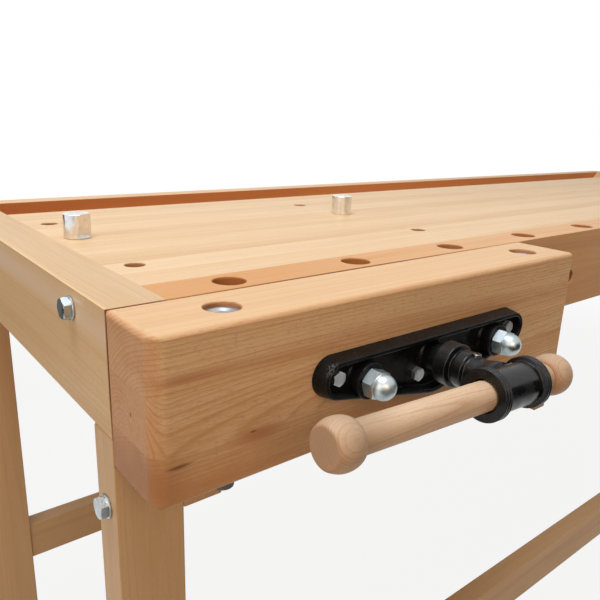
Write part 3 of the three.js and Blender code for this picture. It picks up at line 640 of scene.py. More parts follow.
def beech(name, node, grain, pale, deep, seed=0.0, strips=None, heart=(0.03, -0.11), hearts=None,
          ring=4.2 * MM, wander=0.03, marks=(), blushes=(), streaks=0.3, rings=0.5, ends=0.22, inner_shade=None,
          bore_shade=True, vivid=1.0, calm=1.0, end_rings=0.26):
    """Solid beech for a node: growth rings about an axis along the grain, fibres, flecks, end grain, painted
    shade in bores.

    strips is (axis, first edge, pitch, tones) of the boards glued side by side. heart is the rings' centre
    from the middle of the node, and hearts is a list of (centre, slope) for each strip, in the node's own
    place. marks are (centre, reach) of knots and blushes (centre, reach, strength, tint) of stains and of
    painted light and shade. inner_shade is (axis, limit, colour) of faces darkened below that limit as
    painted shade. vivid and calm are the contrast of the grain on upright and on level faces."""
    s = Shader(name)
    coordinates = s.node("TexCoord")
    place = coordinates.outputs["Object"]
    split = s.node("SeparateXYZ", {0: place}).outputs
    normal = s.node("SeparateXYZ", {0: coordinates.outputs["Normal"]}).outputs
    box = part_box(node)
    across, tone = seen_from_heart(s, split, box, grain, seed, heart, strips, hearts)
    late, fibres, broad, flecks, red = grain_patterns(s, across, ring, wander)

    contrast = s.remap(normal[Z], *LEVEL_FACE, vivid, calm)
    weights = ((late, 0.3, RING_WEIGHT * rings), (fibres, 0.5, FIBRE_WEIGHT), (broad, 0.5, CLOUD_WEIGHT))
    amount = LOWEST_TONE + RING_LIFT * rings
    for pattern, usual, weight in weights:
        swing = s.math("MULTIPLY", s.math("SUBTRACT", pattern, usual), weight)
        amount = s.math("ADD", amount, s.math("MULTIPLY", swing, contrast))
    amount = s.math("ADD", amount, tone, clamp=True)
    shade = s.mix(amount, pale, deep)
    shade = s.mix(s.math("MULTIPLY", red, streaks), shade, RED_STREAK)
    shade = s.mix(s.math("MULTIPLY", flecks, s.math("MULTIPLY", contrast, FLECK_WEIGHT)), shade, RED_STREAK)

    end_grain = s.remap(s.math("ABSOLUTE", normal[grain]), *END_FACE)
    ended = s.mix(s.math("ADD", s.math("MULTIPLY", late, end_rings), ends), shade, RED_STREAK)
    shade = s.mix(end_grain, shade, ended)
    # Painted shade on faces that lie below a limit along an axis
    if inner_shade:
        axis, limit, dark = inner_shade
        share = s.remap(split[axis], limit - INNER_SHADE_BLEND, limit + INNER_SHADE_BLEND, INNER_SHADE_SHARE, 0.0)
        shade = s.mix(share, shade, dark)
    # Stains, painted light and shade, and knots, each a tint over a ragged spot
    spots = [(broad, TINT_RIM, *blush) for blush in blushes]
    spots += [(fibres, KNOT_RIM, *mark, KNOT_STRENGTH, KNOT_BROWN) for mark in marks]
    for pattern, rim, centre, reach, strength, tint in spots:
        ragged = s.math("ADD", s.offset(place, centre, reach), s.math("MULTIPLY", pattern, SPOT_RAGGED))
        shade = s.mix(s.remap(ragged, SPOT_CORE, rim, strength, 0.0), shade, tint)
    # Painted shade in bores, growing with depth below the board's outside
    if bore_shade:
        bore_shade_share = s.remap(depth_inside(s, place, box), BORE_STARTS, BORE_FULL, 0.0, BORE_SHARE)
        shade = s.mix(bore_shade_share, shade, BORE_SHADE)

    height = s.math("SUBTRACT", s.math("MULTIPLY", fibres, 0.6), s.math("MULTIPLY", flecks, 0.5))
    roughness = s.remap(fibres, 0.0, 1.0, *BEECH_ROUGHNESS)
    return s.finish(Base_Color=shade, Roughness=roughness, Specular_IOR_Level=BEECH_SHEEN,
                    Normal=s.bump(height, *BEECH_RELIEF))


CLOUDS_ON_STEEL = (90.0, 90.0, 90.0)
RUBBED_MARKS = (700.0, 700.0, 2600.0)
RUBBED_SHARE = 0.4
TURNING_RINGS = 9000.0
# How softly the painted shade of a tail begins, and how much rougher it makes the steel
SHADE_BLEND = 4 * MM
SHADE_ROUGHNESS = 0.3
STEEL_RELIEF = (0.05, 0.05 * MM)


def plated(name, bright, dull, roughness, turning=None, shade_below=None):
    """Plated steel with a cloudy tint, fine rubbed marks and, along an axis, the rings left by turning.

    Below the level shade_below the tint turns dark grey as painted shade, and the surface turns rougher."""
    s = Shader(name)
    place = s.node("TexCoord").outputs["Object"]
    split = s.node("SeparateXYZ", {0: place}).outputs
    clouds = s.noise(place, CLOUDS_ON_STEEL, 4.0)
    rubbed = s.noise(place, RUBBED_MARKS, 2.0)
    tint = s.mix(s.remap(clouds, 0.35, 0.7), bright, dull)
    faint = s.math("MULTIPLY", rubbed, RUBBED_SHARE)
    height = rubbed
    if turning is not None:
        rings = s.math("SINE", s.math("MULTIPLY", split[turning], TURNING_RINGS))
        height = s.math("ADD", faint, rings)
    worn = s.remap(s.math("ADD", clouds, faint), 0.4, 1.0, roughness * 0.75, roughness * 1.5)
    if shade_below is not None:
        # Painted shade: below the level the tint turns dark grey
        shade_share = s.remap(split[Z], shade_below - SHADE_BLEND, shade_below + SHADE_BLEND, 1.0, 0.0)
        tint = s.mix(shade_share, tint, TAIL_SHADE_GREY)
        worn = s.math("ADD", worn, s.math("MULTIPLY", shade_share, SHADE_ROUGHNESS))
    return s.finish(Base_Color=tint, Metallic=1.0, Roughness=worn, Normal=s.bump(height, *STEEL_RELIEF))


ENAMEL = colour(0.004, 0.0045, 0.005)
ENAMEL_THIN = colour(0.010, 0.0105, 0.011)
DUST = colour(0.22, 0.22, 0.22)
SCUFFED_IRON = colour(0.5, 0.51, 0.52)
SKIN_SCALE = (420.0, 420.0, 420.0)
SWELL_SCALE = (60.0, 60.0, 60.0)
DUST_SPECKS = ((900.0, 900.0, 900.0), 1.0, 0.5, 0.70, 0.76)
SCRATCHES = ((1400.0, 500.0, 260.0), 2.0, 0.5, 0.54, 0.62)
SCUFF_REACH = (0.008, 0.007, 0.008)
SCUFF_SHARE = 0.35
DUST_SHARE = 0.35
ENAMEL_RELIEF = (0.14, 0.35 * MM)


def enamelled(name, scuff_place, dullest, sheen):
    """Black enamel on cast iron: a faint cast skin, dust in it, and pale scuffs round one place."""
    s = Shader(name)
    place = s.node("TexCoord").outputs["Object"]
    skin = s.noise(place, SKIN_SCALE, 3.0, 0.6)
    swell = s.noise(place, SWELL_SCALE, 2.0)
    dust = s.pattern(place, *DUST_SPECKS)
    near = s.remap(s.offset(place, scuff_place, SCUFF_REACH), 0.5, 1.1, 1.0, 0.0)
    scuffs = s.math("MULTIPLY", s.pattern(place, *SCRATCHES), near)
    shade = s.mix(swell, ENAMEL, ENAMEL_THIN)
    shade = s.mix(s.math("MULTIPLY", dust, DUST_SHARE), shade, DUST)
    shade = s.mix(s.math("MULTIPLY", scuffs, SCUFF_SHARE), shade, SCUFFED_IRON)
    height = s.math("ADD", s.math("MULTIPLY", skin, 0.5), swell)
    roughness = s.remap(swell, 0.3, 0.7, dullest / 2, dullest)
    return s.finish(Base_Color=shade, Roughness=roughness, Specular_IOR_Level=sheen,
                    Normal=s.bump(height, *ENAMEL_RELIEF))


# Wooden boards

def middle_of(node):
    low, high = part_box(node)
    return (low + high) / 2


def opening_middle(name):
    low, high = (Vector(corner) for corner in OPENINGS[name])
    return (low + high) / 2


PALE = colour(0.90, 0.65, 0.38)
DEEP = colour(0.72, 0.44, 0.20)
WARM = colour(0.88, 0.60, 0.325)
WARM_DEEP = colour(0.70, 0.38, 0.165)
SAND = colour(0.77, 0.52, 0.28)
SAND_DEEP = colour(0.64, 0.39, 0.18)
CAP_SAND = colour(0.745, 0.525, 0.295)
TURNED = colour(0.82, 0.62, 0.41)
TURNED_DEEP = colour(0.66, 0.42, 0.25)
KNOB_TAN = colour(0.44, 0.29, 0.175)
# Painted shade with orange bounce light on the tray rail's inner face, darker still at its left part
TRAY_SHADE_ORANGE = colour(0.60, 0.185, 0.036)
TRAY_SHADE = colour(0.36, 0.10, 0.022)
# Painted light on the caps' outer end faces, pinker on their upper part
CAP_LIT = colour(0.93, 0.65, 0.34)
CAP_LIT_PINK = colour(0.95, 0.73, 0.53)
BEAM = colour(0.84, 0.50, 0.235)
BEAM_DEEP = colour(0.70, 0.36, 0.14)
BEAM_RUDDY = colour(0.64, 0.25, 0.04)
PANEL_TONES = [0.42, 0.26, 0.72, 0.38, 0.55, 0.63, 0.42, 0.60, 0.40, 0.50]
CAP_TONES = [0.55, 0.62, 0.45]
JAW_TONES = [0.92, 0.54, 0.46]

# Tints on the top: a stain on the beam, painted light on the caps' outer end faces and painted shade on the
# rail's inner face; reach along X, Y and Z, strength and tint
BEAM_STAIN = ((0.34, 0.2, 0.05), 0.5, BEAM_RUDDY)
CAP_FACE_LIGHT = ((6 * MM, 2.0, 0.3), 0.6, CAP_LIT)
CAP_TOP_LIGHT = ((6 * MM, 0.9, 17 * MM), 0.9, CAP_LIT_PINK)
RAIL_SHADE = ((0.7, 4 * MM, 0.4), 0.6, TRAY_SHADE)
BEAM_STAIN_FROM_LEFT = 60 * MM
CAP_LIGHT_DROP = 20 * MM
BEAM_SEAM_REACH = 6 * MM
CAP_SEAM_REACH = 4 * MM


def front_beam():
    low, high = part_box("front_beam")
    cuts = []
    for name in OPENINGS:
        if name.startswith("dog_hole"):
            centre = opening_middle(name)
            if name.endswith("seat"):
                cutter = hole(DOG_SEAT_RADIUS, high.z - DOG_SEAT_DEPTH, high.z, HOLE_EDGE)
            else:
                cutter = bore(DOG_BORE_RADIUS, low.z - OVERRUN, high.z - DOG_SEAT_DEPTH / 2)
            cuts.append(placed(cutter, upright(centre.x, centre.y)))
    face_holes = [(opening_middle("peg_hole"), PEG_HOLE_RADIUS)]
    for node in ("front_guide_rod_left", "front_guide_rod_right", "front_spindle"):
        face_holes.append((middle_of(node), ROD_BORE_RADIUS))
    for centre, radius in face_holes:
        cutter = hole(radius, low.y - high.y - OVERRUN, 0, HOLE_EDGE)
        cuts.append(placed(cutter, facing((centre.x, low.y, centre.z), (0, -1, 0), UP)))
    blank = block(low, high, plain_edges, BEAM_EDGE, BEAM_STEPS)

    jaw_low, jaw_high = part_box("front_jaw")
    # Painted shade along the beam's front top edge, where the front jaw meets it
    seam_shade = ((jaw_low.x + jaw_high.x) / 2, low.y, high.z)
    seam_shade_reach = ((jaw_high.x - jaw_low.x) / 2, SEAM_SHADE_WIDTH, BEAM_SEAM_REACH)
    ruddy = (low.x + BEAM_STAIN_FROM_LEFT, low.y, high.z)
    tints_and_painted_shade = [(ruddy, *BEAM_STAIN), (seam_shade, seam_shade_reach, SEAM_SHADE_STRENGTH, SEAM_SHADE)]
    wood = beech("beech_beam", "front_beam", X, BEAM, BEAM_DEEP, seed=3.0, heart=(0.09, -0.04),
                 streaks=0.2, blushes=tints_and_painted_shade)
    add_piece("front_beam", carved(blank, cuts=cuts), wood)


def top_panel():
    low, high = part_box("top_panel")
    centres = [opening_middle(name) for name in OPENINGS if name.startswith("panel_hole")]
    centres += [dog_axis("bench_dog_left"), dog_axis("bench_dog_right")]
    cuts = []
    for centre in centres:
        cutter = hole(DOG_BORE_RADIUS, low.z - OVERRUN, high.z, HOLE_EDGE)
        cuts.append(placed(cutter, upright(centre.x, centre.y)))
    snug = Vector((PANEL_EDGE, PANEL_EDGE, 0))
    panel = carved(block(low - snug, high + snug, plain_edges, PANEL_EDGE, EDGE_STEPS), cuts=cuts)
    strips = (Y, low.y, (high.y - low.y) / len(PANEL_TONES), PANEL_TONES)
    wood = beech("beech_panel", "top_panel", X, PALE, DEEP, seed=1.0, strips=strips, streaks=0.12,
                 rings=0.4)
    add_piece("top_panel", panel, wood)


def end_cap(side, seed):
    node = "end_cap_" + side
    low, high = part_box(node)
    middle = (low + high) / 2
    inner, outer = (high.x, low.x) if side == "left" else (low.x, high.x)
    # Painted light on the cap's outer end face, pinker on its upper part
    tints_and_painted_shade = [((outer, middle.y, middle.z), *CAP_FACE_LIGHT),
              ((outer, high.y, high.z - CAP_LIGHT_DROP), *CAP_TOP_LIGHT)]
    # Painted shade along the cap's front outer edge and front top edge
    seam_shades = [
        ((outer, low.y, middle.z), (CAP_SEAM_REACH, SEAM_SHADE_WIDTH, high.z - low.z)),
        ((middle.x, low.y, high.z), (high.x - low.x, SEAM_SHADE_WIDTH, CAP_SEAM_REACH)),
    ]
    tints_and_painted_shade += [(centre, reach, SEAM_SHADE_STRENGTH, SEAM_SHADE) for centre, reach in seam_shades]
    layers = (Z, low.z, (high.z - low.z) / len(CAP_TONES), CAP_TONES)
    wood = beech("beech_cap_" + side, node, Y, CAP_SAND, SAND_DEEP, seed=seed, strips=layers,
                 streaks=0.1, vivid=4.0, blushes=tints_and_painted_shade)

    def cap_edges(point):
        if abs(point.x - inner) < MM:
            return PANEL_EDGE / OUTER_EDGE
        if abs(point.y - low.y) < MM:
            return BEAM_EDGE / OUTER_EDGE
        return 1.0

    add_piece(node, eased_copy(node, OUTER_EDGE, cap_edges), wood)


def tool_tray():
    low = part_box("back_rail")[0]
    # Painted shade on the rail's inner face, darker still towards its left end
    wood = beech("beech_rail", "back_rail", X, WARM, WARM_DEEP, seed=12.0, streaks=0.2, bore_shade=False,
                 inner_shade=(Y, low.y + TRAY_SHADE_DEPTH, TRAY_SHADE_ORANGE), blushes=[(low, *RAIL_SHADE)])
    add_piece("back_rail", eased_copy("back_rail", BOARD_EDGE), wood)
    for i, node in enumerate(("tray_floor", "tray_ramp_left", "tray_ramp_right")):
        wood = beech("beech_" + node, node, X, WARM, WARM_DEEP, seed=15.0 + i, bore_shade=False)
        add_piece(node, eased_copy(node, BOARD_EDGE / 2), wood)


def base():
    boards = [(board, X) for board in ("stretcher_front", "stretcher_back")]
    boards += [(board, Y) for board in ("bearer_left", "bearer_right")]
    boards += [("leg_" + side + "_" + end, Z) for side in ("front", "back") for end in ("left", "right")]
    for i, (node, grain) in enumerate(boards):
        wood = beech("beech_" + node, node, grain, SAND, SAND_DEEP, seed=21.0 + i, streaks=0.2)
        add_piece(node, eased_copy(node, OUTER_EDGE), wood)


# Metal fittings

def dog_axis(node):
    """Point on a dog's axis at the foot of its shank."""
    points = [vert.co for vert in frame["nodes"][node].data.vertices]
    foot = min(point.z for point in points)
    ring = [point for point in points if point.z < foot + DOG_FOOT_SLICE]
    x, y = ([point[axis] for point in ring] for axis in (X, Y))
    return Vector(((min(x) + max(x)) / 2, (min(y) + max(y)) / 2, foot))


def dog(node, material):
    low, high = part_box(node)
    axis = dog_axis(node)
    under = high.z - DOG_HEAD_HEIGHT
    dish = high.z - DOG_DISH_DEPTH
    profile = rounded([
        (0, low.z), (DOG_SHANK_RADIUS, low.z), (DOG_SHANK_RADIUS, under), (DOG_HEAD_RADIUS, under),
        (DOG_HEAD_RADIUS, high.z), (DOG_DISH_RADIUS, high.z), (DOG_DISH_RADIUS - 2 * DOG_DISH_DEPTH, dish),
        (0, dish),
    ], DOG_EASE)

    def on_flat(z):
        return DOG_HEAD_RADIUS - DOG_FLAT_DEPTH - math.tan(DOG_FLAT_LEAN) * (high.z - z)

    foot = under + DOG_FLAT_FOOT
    above = high.z + DOG_CUTTER_RISE
    wide = 2 * DOG_HEAD_RADIUS
    wedge = [(on_flat(foot), foot), (wide, foot), (wide, above), (on_flat(above), above)]
    flat = ring_mesh([[(x, y, z) for x, z in wedge] for y in (-wide, wide)])
    body = carved(turned(profile), cuts=[flat])
    turn = Matrix.Rotation(math.radians(DOG_TURNS[node]), 4, "Z")
    add_piece(node, placed(body, upright(axis.x, axis.y) @ turn), material)


def hex_screw(across, head, shank, grip, washer=None):
    """Hex screw along Z with its seat at 0, its head above and its shank below."""
    sides = SCREW_SIDES
    tip = SCREW_TIP_EASE
    rings = circles([(0, -grip), (shank - tip, -grip), (shank, tip - grip), (shank, 0)], sides)
    seat = 0
    if washer:
        radius, seat = washer
        rim = radius - WASHER_EASE
        rings += circles([(rim, 0), (radius, WASHER_EASE), (radius, seat - WASHER_EASE), (rim, seat),
                          (across / 2 * HEX_SEAT, seat)], sides)
    top = seat + head
    rings += [hexagon(across, seat + HEX_FOOT, sides), hexagon(across, top, sides, HEX_CHAMFER)]
    rings += circles([(across / 2 * HEX_CROWN, top), (across / 2 * HEX_FACE, top), (0, top)], sides)
    return ring_mesh(rings)


def bolts(material):
    legs = ["leg_bolt_" + side + "_" + end for side in ("front", "back") for end in ("left", "right")]
    for name in ["cap_bolt_front", "cap_bolt_back", *legs]:
        low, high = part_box(name)
        centre = (low + high) / 2
        outward = Vector((1 if name.endswith("right") else -1, 0, 0))
        outer = high.x if outward.x > 0 else low.x
        seat = outer - outward.x * (BOLT_HEAD + WASHER_THICKNESS)
        grip = (high.x - low.x) - BOLT_HEAD - WASHER_THICKNESS
        screw = hex_screw(BOLT_ACROSS, BOLT_HEAD, BOLT_RADIUS, grip, (WASHER_RADIUS, WASHER_THICKNESS))
        stand = facing((seat, centre.y, centre.z), outward, UP)
        add_piece(name, placed(screw, stand), material)


# Vises; each is drawn in its own frame: X along the jaw, Y into the bench, Z up,
# with the origin where the screw's axis meets the jaw's front face.

def vise_frame(name):
    left, right = middle_of(name + "_guide_rod_left"), middle_of(name + "_guide_rod_right")
    along = (right - left).normalized()
    inward = UP.cross(along)
    axis = (left + right) / 2
    front = min(corner.dot(inward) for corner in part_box(name + "_jaw"))
    matrix = Matrix((along, inward, UP)).transposed().to_4x4()
    matrix.translation = axis + (front - axis.dot(inward)) * inward
    return matrix


def local_box(node, place):
    """Lowest and highest corner of a node in a vise's frame."""
    corners = [place.inverted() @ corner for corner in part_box(node)]
    return (Vector(map(min, *corners)), Vector(map(max, *corners)))


def outwards(x, z, distance):
    """Matrix of a shape that stands on the jaw's front face and points away from it."""
    return facing((x, -distance, z), (0, -1, 0), UP)


def inwards(x, y):
    """Matrix of a shape that starts at a distance behind the jaw's front face and points into the bench."""
    return facing((x, y, 0), (0, 1, 0), UP)


def boss(radius, spread, root, foot_top, waist, reach, ease):
    """Profile of a round boss that spreads into a foot where it leaves its floor."""
    foot = radius + spread
    corners = [(0, root), (foot, root), (foot, foot_top), (radius, waist), (radius, reach), (0, reach)]
    return rounded(corners, ease)


def jaw(name, place, material):
    low, high = local_box(name + "_jaw", place)
    centre = (low + high) / 2

    def weights(point):
        if abs(point.y - high.y) < MM:
            return JAW_BACK_EDGE / JAW_LEFT_ROUND
        if abs(point.y - low.y) > MM:
            return JAW_CORNER_ROUND / JAW_LEFT_ROUND
        if abs(point.x - low.x) > MM:
            return JAW_FRONT_ROUND / JAW_LEFT_ROUND
        return 1.0

    blank = block(low, high, weights, JAW_LEFT_ROUND, JAW_STEPS)
    cuts = []
    dogs = [node for node in DOG_TURNS if node.startswith(name + "_jaw_dog")]
    for node in dogs:
        x = (place.inverted() @ dog_axis(node)).x
        seat = hole(DOG_SEAT_RADIUS, high.z - DOG_SEAT_DEPTH, high.z, HOLE_EDGE)
        shank = bore(DOG_BORE_RADIUS, low.z - OVERRUN, centre.z)
        cuts += [placed(cutter, upright(x, centre.y)) for cutter in (seat, shank)]
    bores = [(x, ROD_BORE_RADIUS, high.y - low.y + OVERRUN) for x in (-ROD_SPREAD, 0, ROD_SPREAD)]
    bores.append((0, COLLAR_BORE_RADIUS, COLLAR_BORE_DEPTH))
    for x, radius, depth in bores:
        cuts.append(placed(bore(radius, -depth, OVERRUN), outwards(x, 0, 0)))
    add_piece(name + "_jaw", placed(carved(blank, cuts=cuts), place), material)


def plate_ring(inset, reach):
    """Outline of the cast plate, drawn in by an inset, at a reach from the jaw's face."""
    end_centre = PLATE_LENGTH / 2 - PLATE_END_RADIUS
    belly_centre = BELLY_RADIUS - BELLY_DROP
    rise = PLATE_END_RISE - belly_centre
    tangent = math.atan2(rise, end_centre) - math.acos(
        (BELLY_RADIUS - PLATE_END_RADIUS) / math.hypot(end_centre, rise))
    arcs = [
        (end_centre, PLATE_END_RISE, PLATE_END_RADIUS, tangent, math.pi / 2, END_STEPS),
        (-end_centre, PLATE_END_RISE, PLATE_END_RADIUS, math.pi / 2, math.pi - tangent, END_STEPS),
        (0, belly_centre, BELLY_RADIUS, -math.pi - tangent, tangent, BELLY_STEPS),
    ]
    points = []
    for x, z, radius, start, end, steps in arcs:
        for i in range(steps + 1):
            turn = start + (end - start) * i / steps
            arm = radius - inset
            points.append((x + arm * math.cos(turn), -reach, z + arm * math.sin(turn)))
    return points


def vise_plate(name, place, material):
    rim = PLATE_DRAFT + PLATE_RIM
    inner = rim + POCKET_DRAFT
    section = rounded([
        (0, SEAT_GAP), (PLATE_DRAFT, PLATE_DEPTH), (rim, PLATE_DEPTH), (inner, PLATE_FLOOR),
        (inner + 2 * FLOOR_EASE, PLATE_FLOOR),
    ], PLATE_EASE)
    tray = ring_mesh([plate_ring(inset, reach) for inset, reach in section])
    stands = [(x, ROD_BOSS_RADIUS, ROD_BOSS_REACH) for _, x in RODS]
    stands.append((0, SPINDLE_BOSS_RADIUS, SPINDLE_BOSS_REACH))
    bosses = []
    for x, radius, reach in stands:
        profile = boss(radius, BOSS_SPREAD, BOSS_ROOT, PLATE_FLOOR - BOSS_SINK, PLATE_FLOOR + BOSS_RISE,
                       reach, METAL_EASE)
        bosses.append(placed(turned(profile), outwards(x, 0, 0)))
    bores = [(x, 0, ROD_THREAD_RADIUS) for _, x in RODS] + [(0, 0, NOSE_RADIUS)]
    bores += [(x, z, PLATE_SCREW_RADIUS) for x, z in PLATE_SCREWS]
    cuts = []
    for x, z, radius in bores:
        cutter = bore(radius + SEAT_GAP, -OVERRUN, SPINDLE_BOSS_REACH + OVERRUN)
        cuts.append(placed(cutter, outwards(x, z, 0)))
    add_piece(name + "_vise_plate", placed(carved(tray, bosses, cuts), place), material)


def plate_screws(name, place, material):
    for i, (x, z) in enumerate(PLATE_SCREWS):
        screw = hex_screw(PLATE_SCREW_ACROSS, PLATE_SCREW_HEAD, PLATE_SCREW_RADIUS, PLATE_SCREW_GRIP)
        seat = place @ outwards(x, z, PLATE_FLOOR + HEAD_GAP)
        add_piece(name + "_plate_screw_" + str(i + 1), placed(screw, seat), material)


def cap_nuts(name, place, material):
    across, dome = CAP_NUT_ACROSS, DOME_RADIUS
    profile = [(dome + LIP_WIDTH, CAP_NUT_HEX), (dome, CAP_NUT_HEX + LIP_HEIGHT)]
    for i in range(CURVE_STEPS + 1):
        turn = math.pi / 2 * i / CURVE_STEPS
        profile.append((dome * math.cos(turn), DOME_CENTRE + dome * math.sin(turn)))
    for side, x in RODS:
        rings = [circle(across / 2 * HEX_CROWN, 0, NUT_SIDES), hexagon(across, 0, NUT_SIDES, -HEX_CHAMFER),
                 hexagon(across, CAP_NUT_HEX, NUT_SIDES, HEX_CHAMFER), *circles(profile, NUT_SIDES)]
        thread = bore(ROD_THREAD_RADIUS + SEAT_GAP, -OVERRUN, CAP_NUT_HEX + SEAT_GAP)
        nut = placed(carved(ring_mesh(rings), cuts=[thread]), Matrix.Rotation(CAP_NUT_TURN, 4, "Z"))
        seat = place @ outwards(x, 0, ROD_BOSS_REACH + HEAD_GAP)
        add_piece(name + "_cap_nut_" + side, placed(nut, seat), material)


def guide_rods(name, place, material):
    for side, x in RODS:
        low, high = local_box(name + "_guide_rod_" + side, place)
        shoulder = SEAT_GAP - low.y
        length = high.y - low.y
        profile = rounded([
            (0, 0), (ROD_THREAD_RADIUS, 0), (ROD_THREAD_RADIUS, shoulder), (ROD_RADIUS, shoulder),
            (ROD_RADIUS, length), (0, length),
        ], METAL_EASE, FEW_STEPS)
        rod = placed(turned(profile, SMALL_SIDES), place @ inwards(x, low.y))
        add_piece(name + "_guide_rod_" + side, rod, material)


def spindle(name, place, material):
    """Spindle with its nose, collar and a coarse square thread behind the collar."""
    low, high = local_box(name + "_spindle", place)
    collar = SEAT_GAP - low.y
    thread = collar + COLLAR_LENGTH
    length = high.y - low.y
    rings = circles([
        (0, 0), (NOSE_RADIUS, NOSE_EASE), (NOSE_RADIUS, collar),
        (COLLAR_RADIUS, collar), (COLLAR_RADIUS, thread), (THREAD_ROOT, thread),
    ], THREAD_SIDES)
    count = int((length - thread) / SPINDLE_LEAD * THREAD_RINGS)
    for i in range(1, count):
        z = thread + i * SPINDLE_LEAD / THREAD_RINGS
        run_out = min(1.0, i / THREAD_RINGS, (count - i) / THREAD_RINGS)
        ring = []
        for turn in turns(THREAD_SIDES):
            wave = math.cos(2 * math.pi * (z / SPINDLE_LEAD) - turn)
            crest = min(1.0, max(0.0, 0.5 + THREAD_FLANK * wave)) * run_out
            radius = THREAD_ROOT + (SPINDLE_RADIUS - THREAD_ROOT) * crest
            ring.append(polar(radius, turn, z))
        rings.append(ring)
    rings += circles([(THREAD_ROOT - CHAMFER, length), (0, length)], THREAD_SIDES)
    screw = placed(ring_mesh(rings), place @ inwards(0, low.y))
    add_piece(name + "_spindle", screw, material)


def nut_housing(name, place, material):
    low, high = local_box(name + "_nut_housing", place)
    length = high.y - low.y
    flange_high = Vector((high.x, low.y + HOUSING_FLANGE, high.z))
    flange = block(low, flange_high, plain_edges, HOUSING_EDGE, FEW_STEPS)
    sleeves = []
    cuts = []
    for x, radius in ((-ROD_SPREAD, SLEEVE_RADIUS), (0, NUT_RADIUS), (ROD_SPREAD, SLEEVE_RADIUS)):
        profile = boss(radius, SLEEVE_SPREAD, SLEEVE_ROOT, HOUSING_FLANGE - SLEEVE_SINK,
                       HOUSING_FLANGE + SLEEVE_SPREAD, length, SLEEVE_EASE)
        stand = inwards(x, low.y)
        sleeves.append(placed(turned(profile, SMALL_SIDES), stand))
        cuts.append(placed(bore(ROD_BORE_RADIUS, -OVERRUN, length + OVERRUN), stand))
    add_piece(name + "_nut_housing", placed(carved(flange, sleeves, cuts), place), material)


def hub_neck():
    """Flange, ring and neck of the hub, flaring into its barrel."""
    start = SPINDLE_BOSS_REACH + HUB_GAP
    profile = rounded([
        (0, start), (HUB_FLANGE_RADIUS, start), (HUB_FLANGE_RADIUS, HUB_FLANGE_END),
        (HUB_NECK_RADIUS, HUB_FLANGE_END), (HUB_NECK_RADIUS, HUB_RING_START - CHAMFER),
        (HUB_RING_RADIUS, HUB_RING_START), (HUB_RING_RADIUS, HUB_RING_END),
        (HUB_NECK_RADIUS, HUB_RING_END + CHAMFER), (HUB_NECK_RADIUS, HUB_NECK_END),
    ], HUB_EASE)
    flare = BARREL_RADIUS - CHAMFER - HUB_NECK_RADIUS
    flare_length = HUB_REACH - HANDLE_RADIUS - HUB_NECK_END
    for i in range(1, CURVE_STEPS + 1):
        t = i / CURVE_STEPS
        profile.append((HUB_NECK_RADIUS + flare * t * t * (3 - 2 * t), HUB_NECK_END + flare_length * t))
    profile.append((0, HUB_REACH))
    return turned(profile)


def hub_barrel():
    """Barrel of the hub along Z, with a grooved ring at each end."""
    half = BARREL_LENGTH / 2
    ring, groove = END_RING_RADIUS, END_RING_RADIUS - GROOVE_DEPTH
    shoulder = half - END_RING_WIDTH
    upper = [(BARREL_RADIUS, 0.0), (BARREL_RADIUS, shoulder), (ring, shoulder + CHAMFER)]
    for share in GROOVE_SHARES:
        z = half - END_RING_WIDTH * (1 - share)
        mouth, bottom = GROOVE_WIDTH / 2, GROOVE_WIDTH / 4
        upper += [(ring, z - mouth), (groove, z - bottom), (groove, z + bottom), (ring, z + mouth)]
    upper += [(ring, half), (BARREL_BORE_RADIUS, half), (0, half)]
    lower = [(radius, -z) for radius, z in reversed(upper)]
    return turned(rounded(lower[:-1] + upper[1:], BARREL_EASE, FEW_STEPS))


def hub(name, turning, material):
    half = BARREL_LENGTH / 2
    end = half + MOUTH_OVERRUN
    waist = half - METAL_EASE
    mouth = BARREL_BORE_RADIUS + METAL_EASE + MOUTH_OVERRUN
    handle_bore = turned([(0, -end), (mouth, -end), (BARREL_BORE_RADIUS, -waist), (BARREL_BORE_RADIUS, waist),
                          (mouth, end), (0, end)])
    across = facing((BARREL_OFFSET, -HUB_REACH, 0), (1, 0, 0), UP)
    socket = bore(NOSE_RADIUS + SEAT_GAP, 0, HUB_SOCKET_END)
    grub_hole = bore(GRUB_RADIUS + SEAT_GAP, 0, HUB_FLANGE_RADIUS)
    cuts = [placed(handle_bore, across), placed(socket, outwards(0, 0, 0)),
            placed(grub_hole, upright(0, -GRUB_REACH))]
    body = carved(placed(hub_neck(), outwards(0, 0, 0)), [placed(hub_barrel(), across)], cuts)
    add_piece(name + "_hub", placed(body, turning), material)


def grub_screw(name, turning, material):
    low = NOSE_RADIUS + HEAD_GAP
    floor = GRUB_TOP - KEY_DEPTH
    rings = circles([
        (0, low), (GRUB_RADIUS - CHAMFER, low), (GRUB_RADIUS, low + CHAMFER),
        (GRUB_RADIUS, GRUB_TOP - GRUB_EASE), (GRUB_RADIUS - GRUB_EASE, GRUB_TOP),
    ], SMALL_SIDES)
    rings += [hexagon(KEY_ACROSS, height, SMALL_SIDES) for height in (GRUB_TOP, floor)]
    rings.append(circle(0, floor - KEY_POINT, SMALL_SIDES))
    screw = placed(ring_mesh(rings), turning @ upright(0, -GRUB_REACH))
    add_piece(name + "_grub_screw", screw, material)


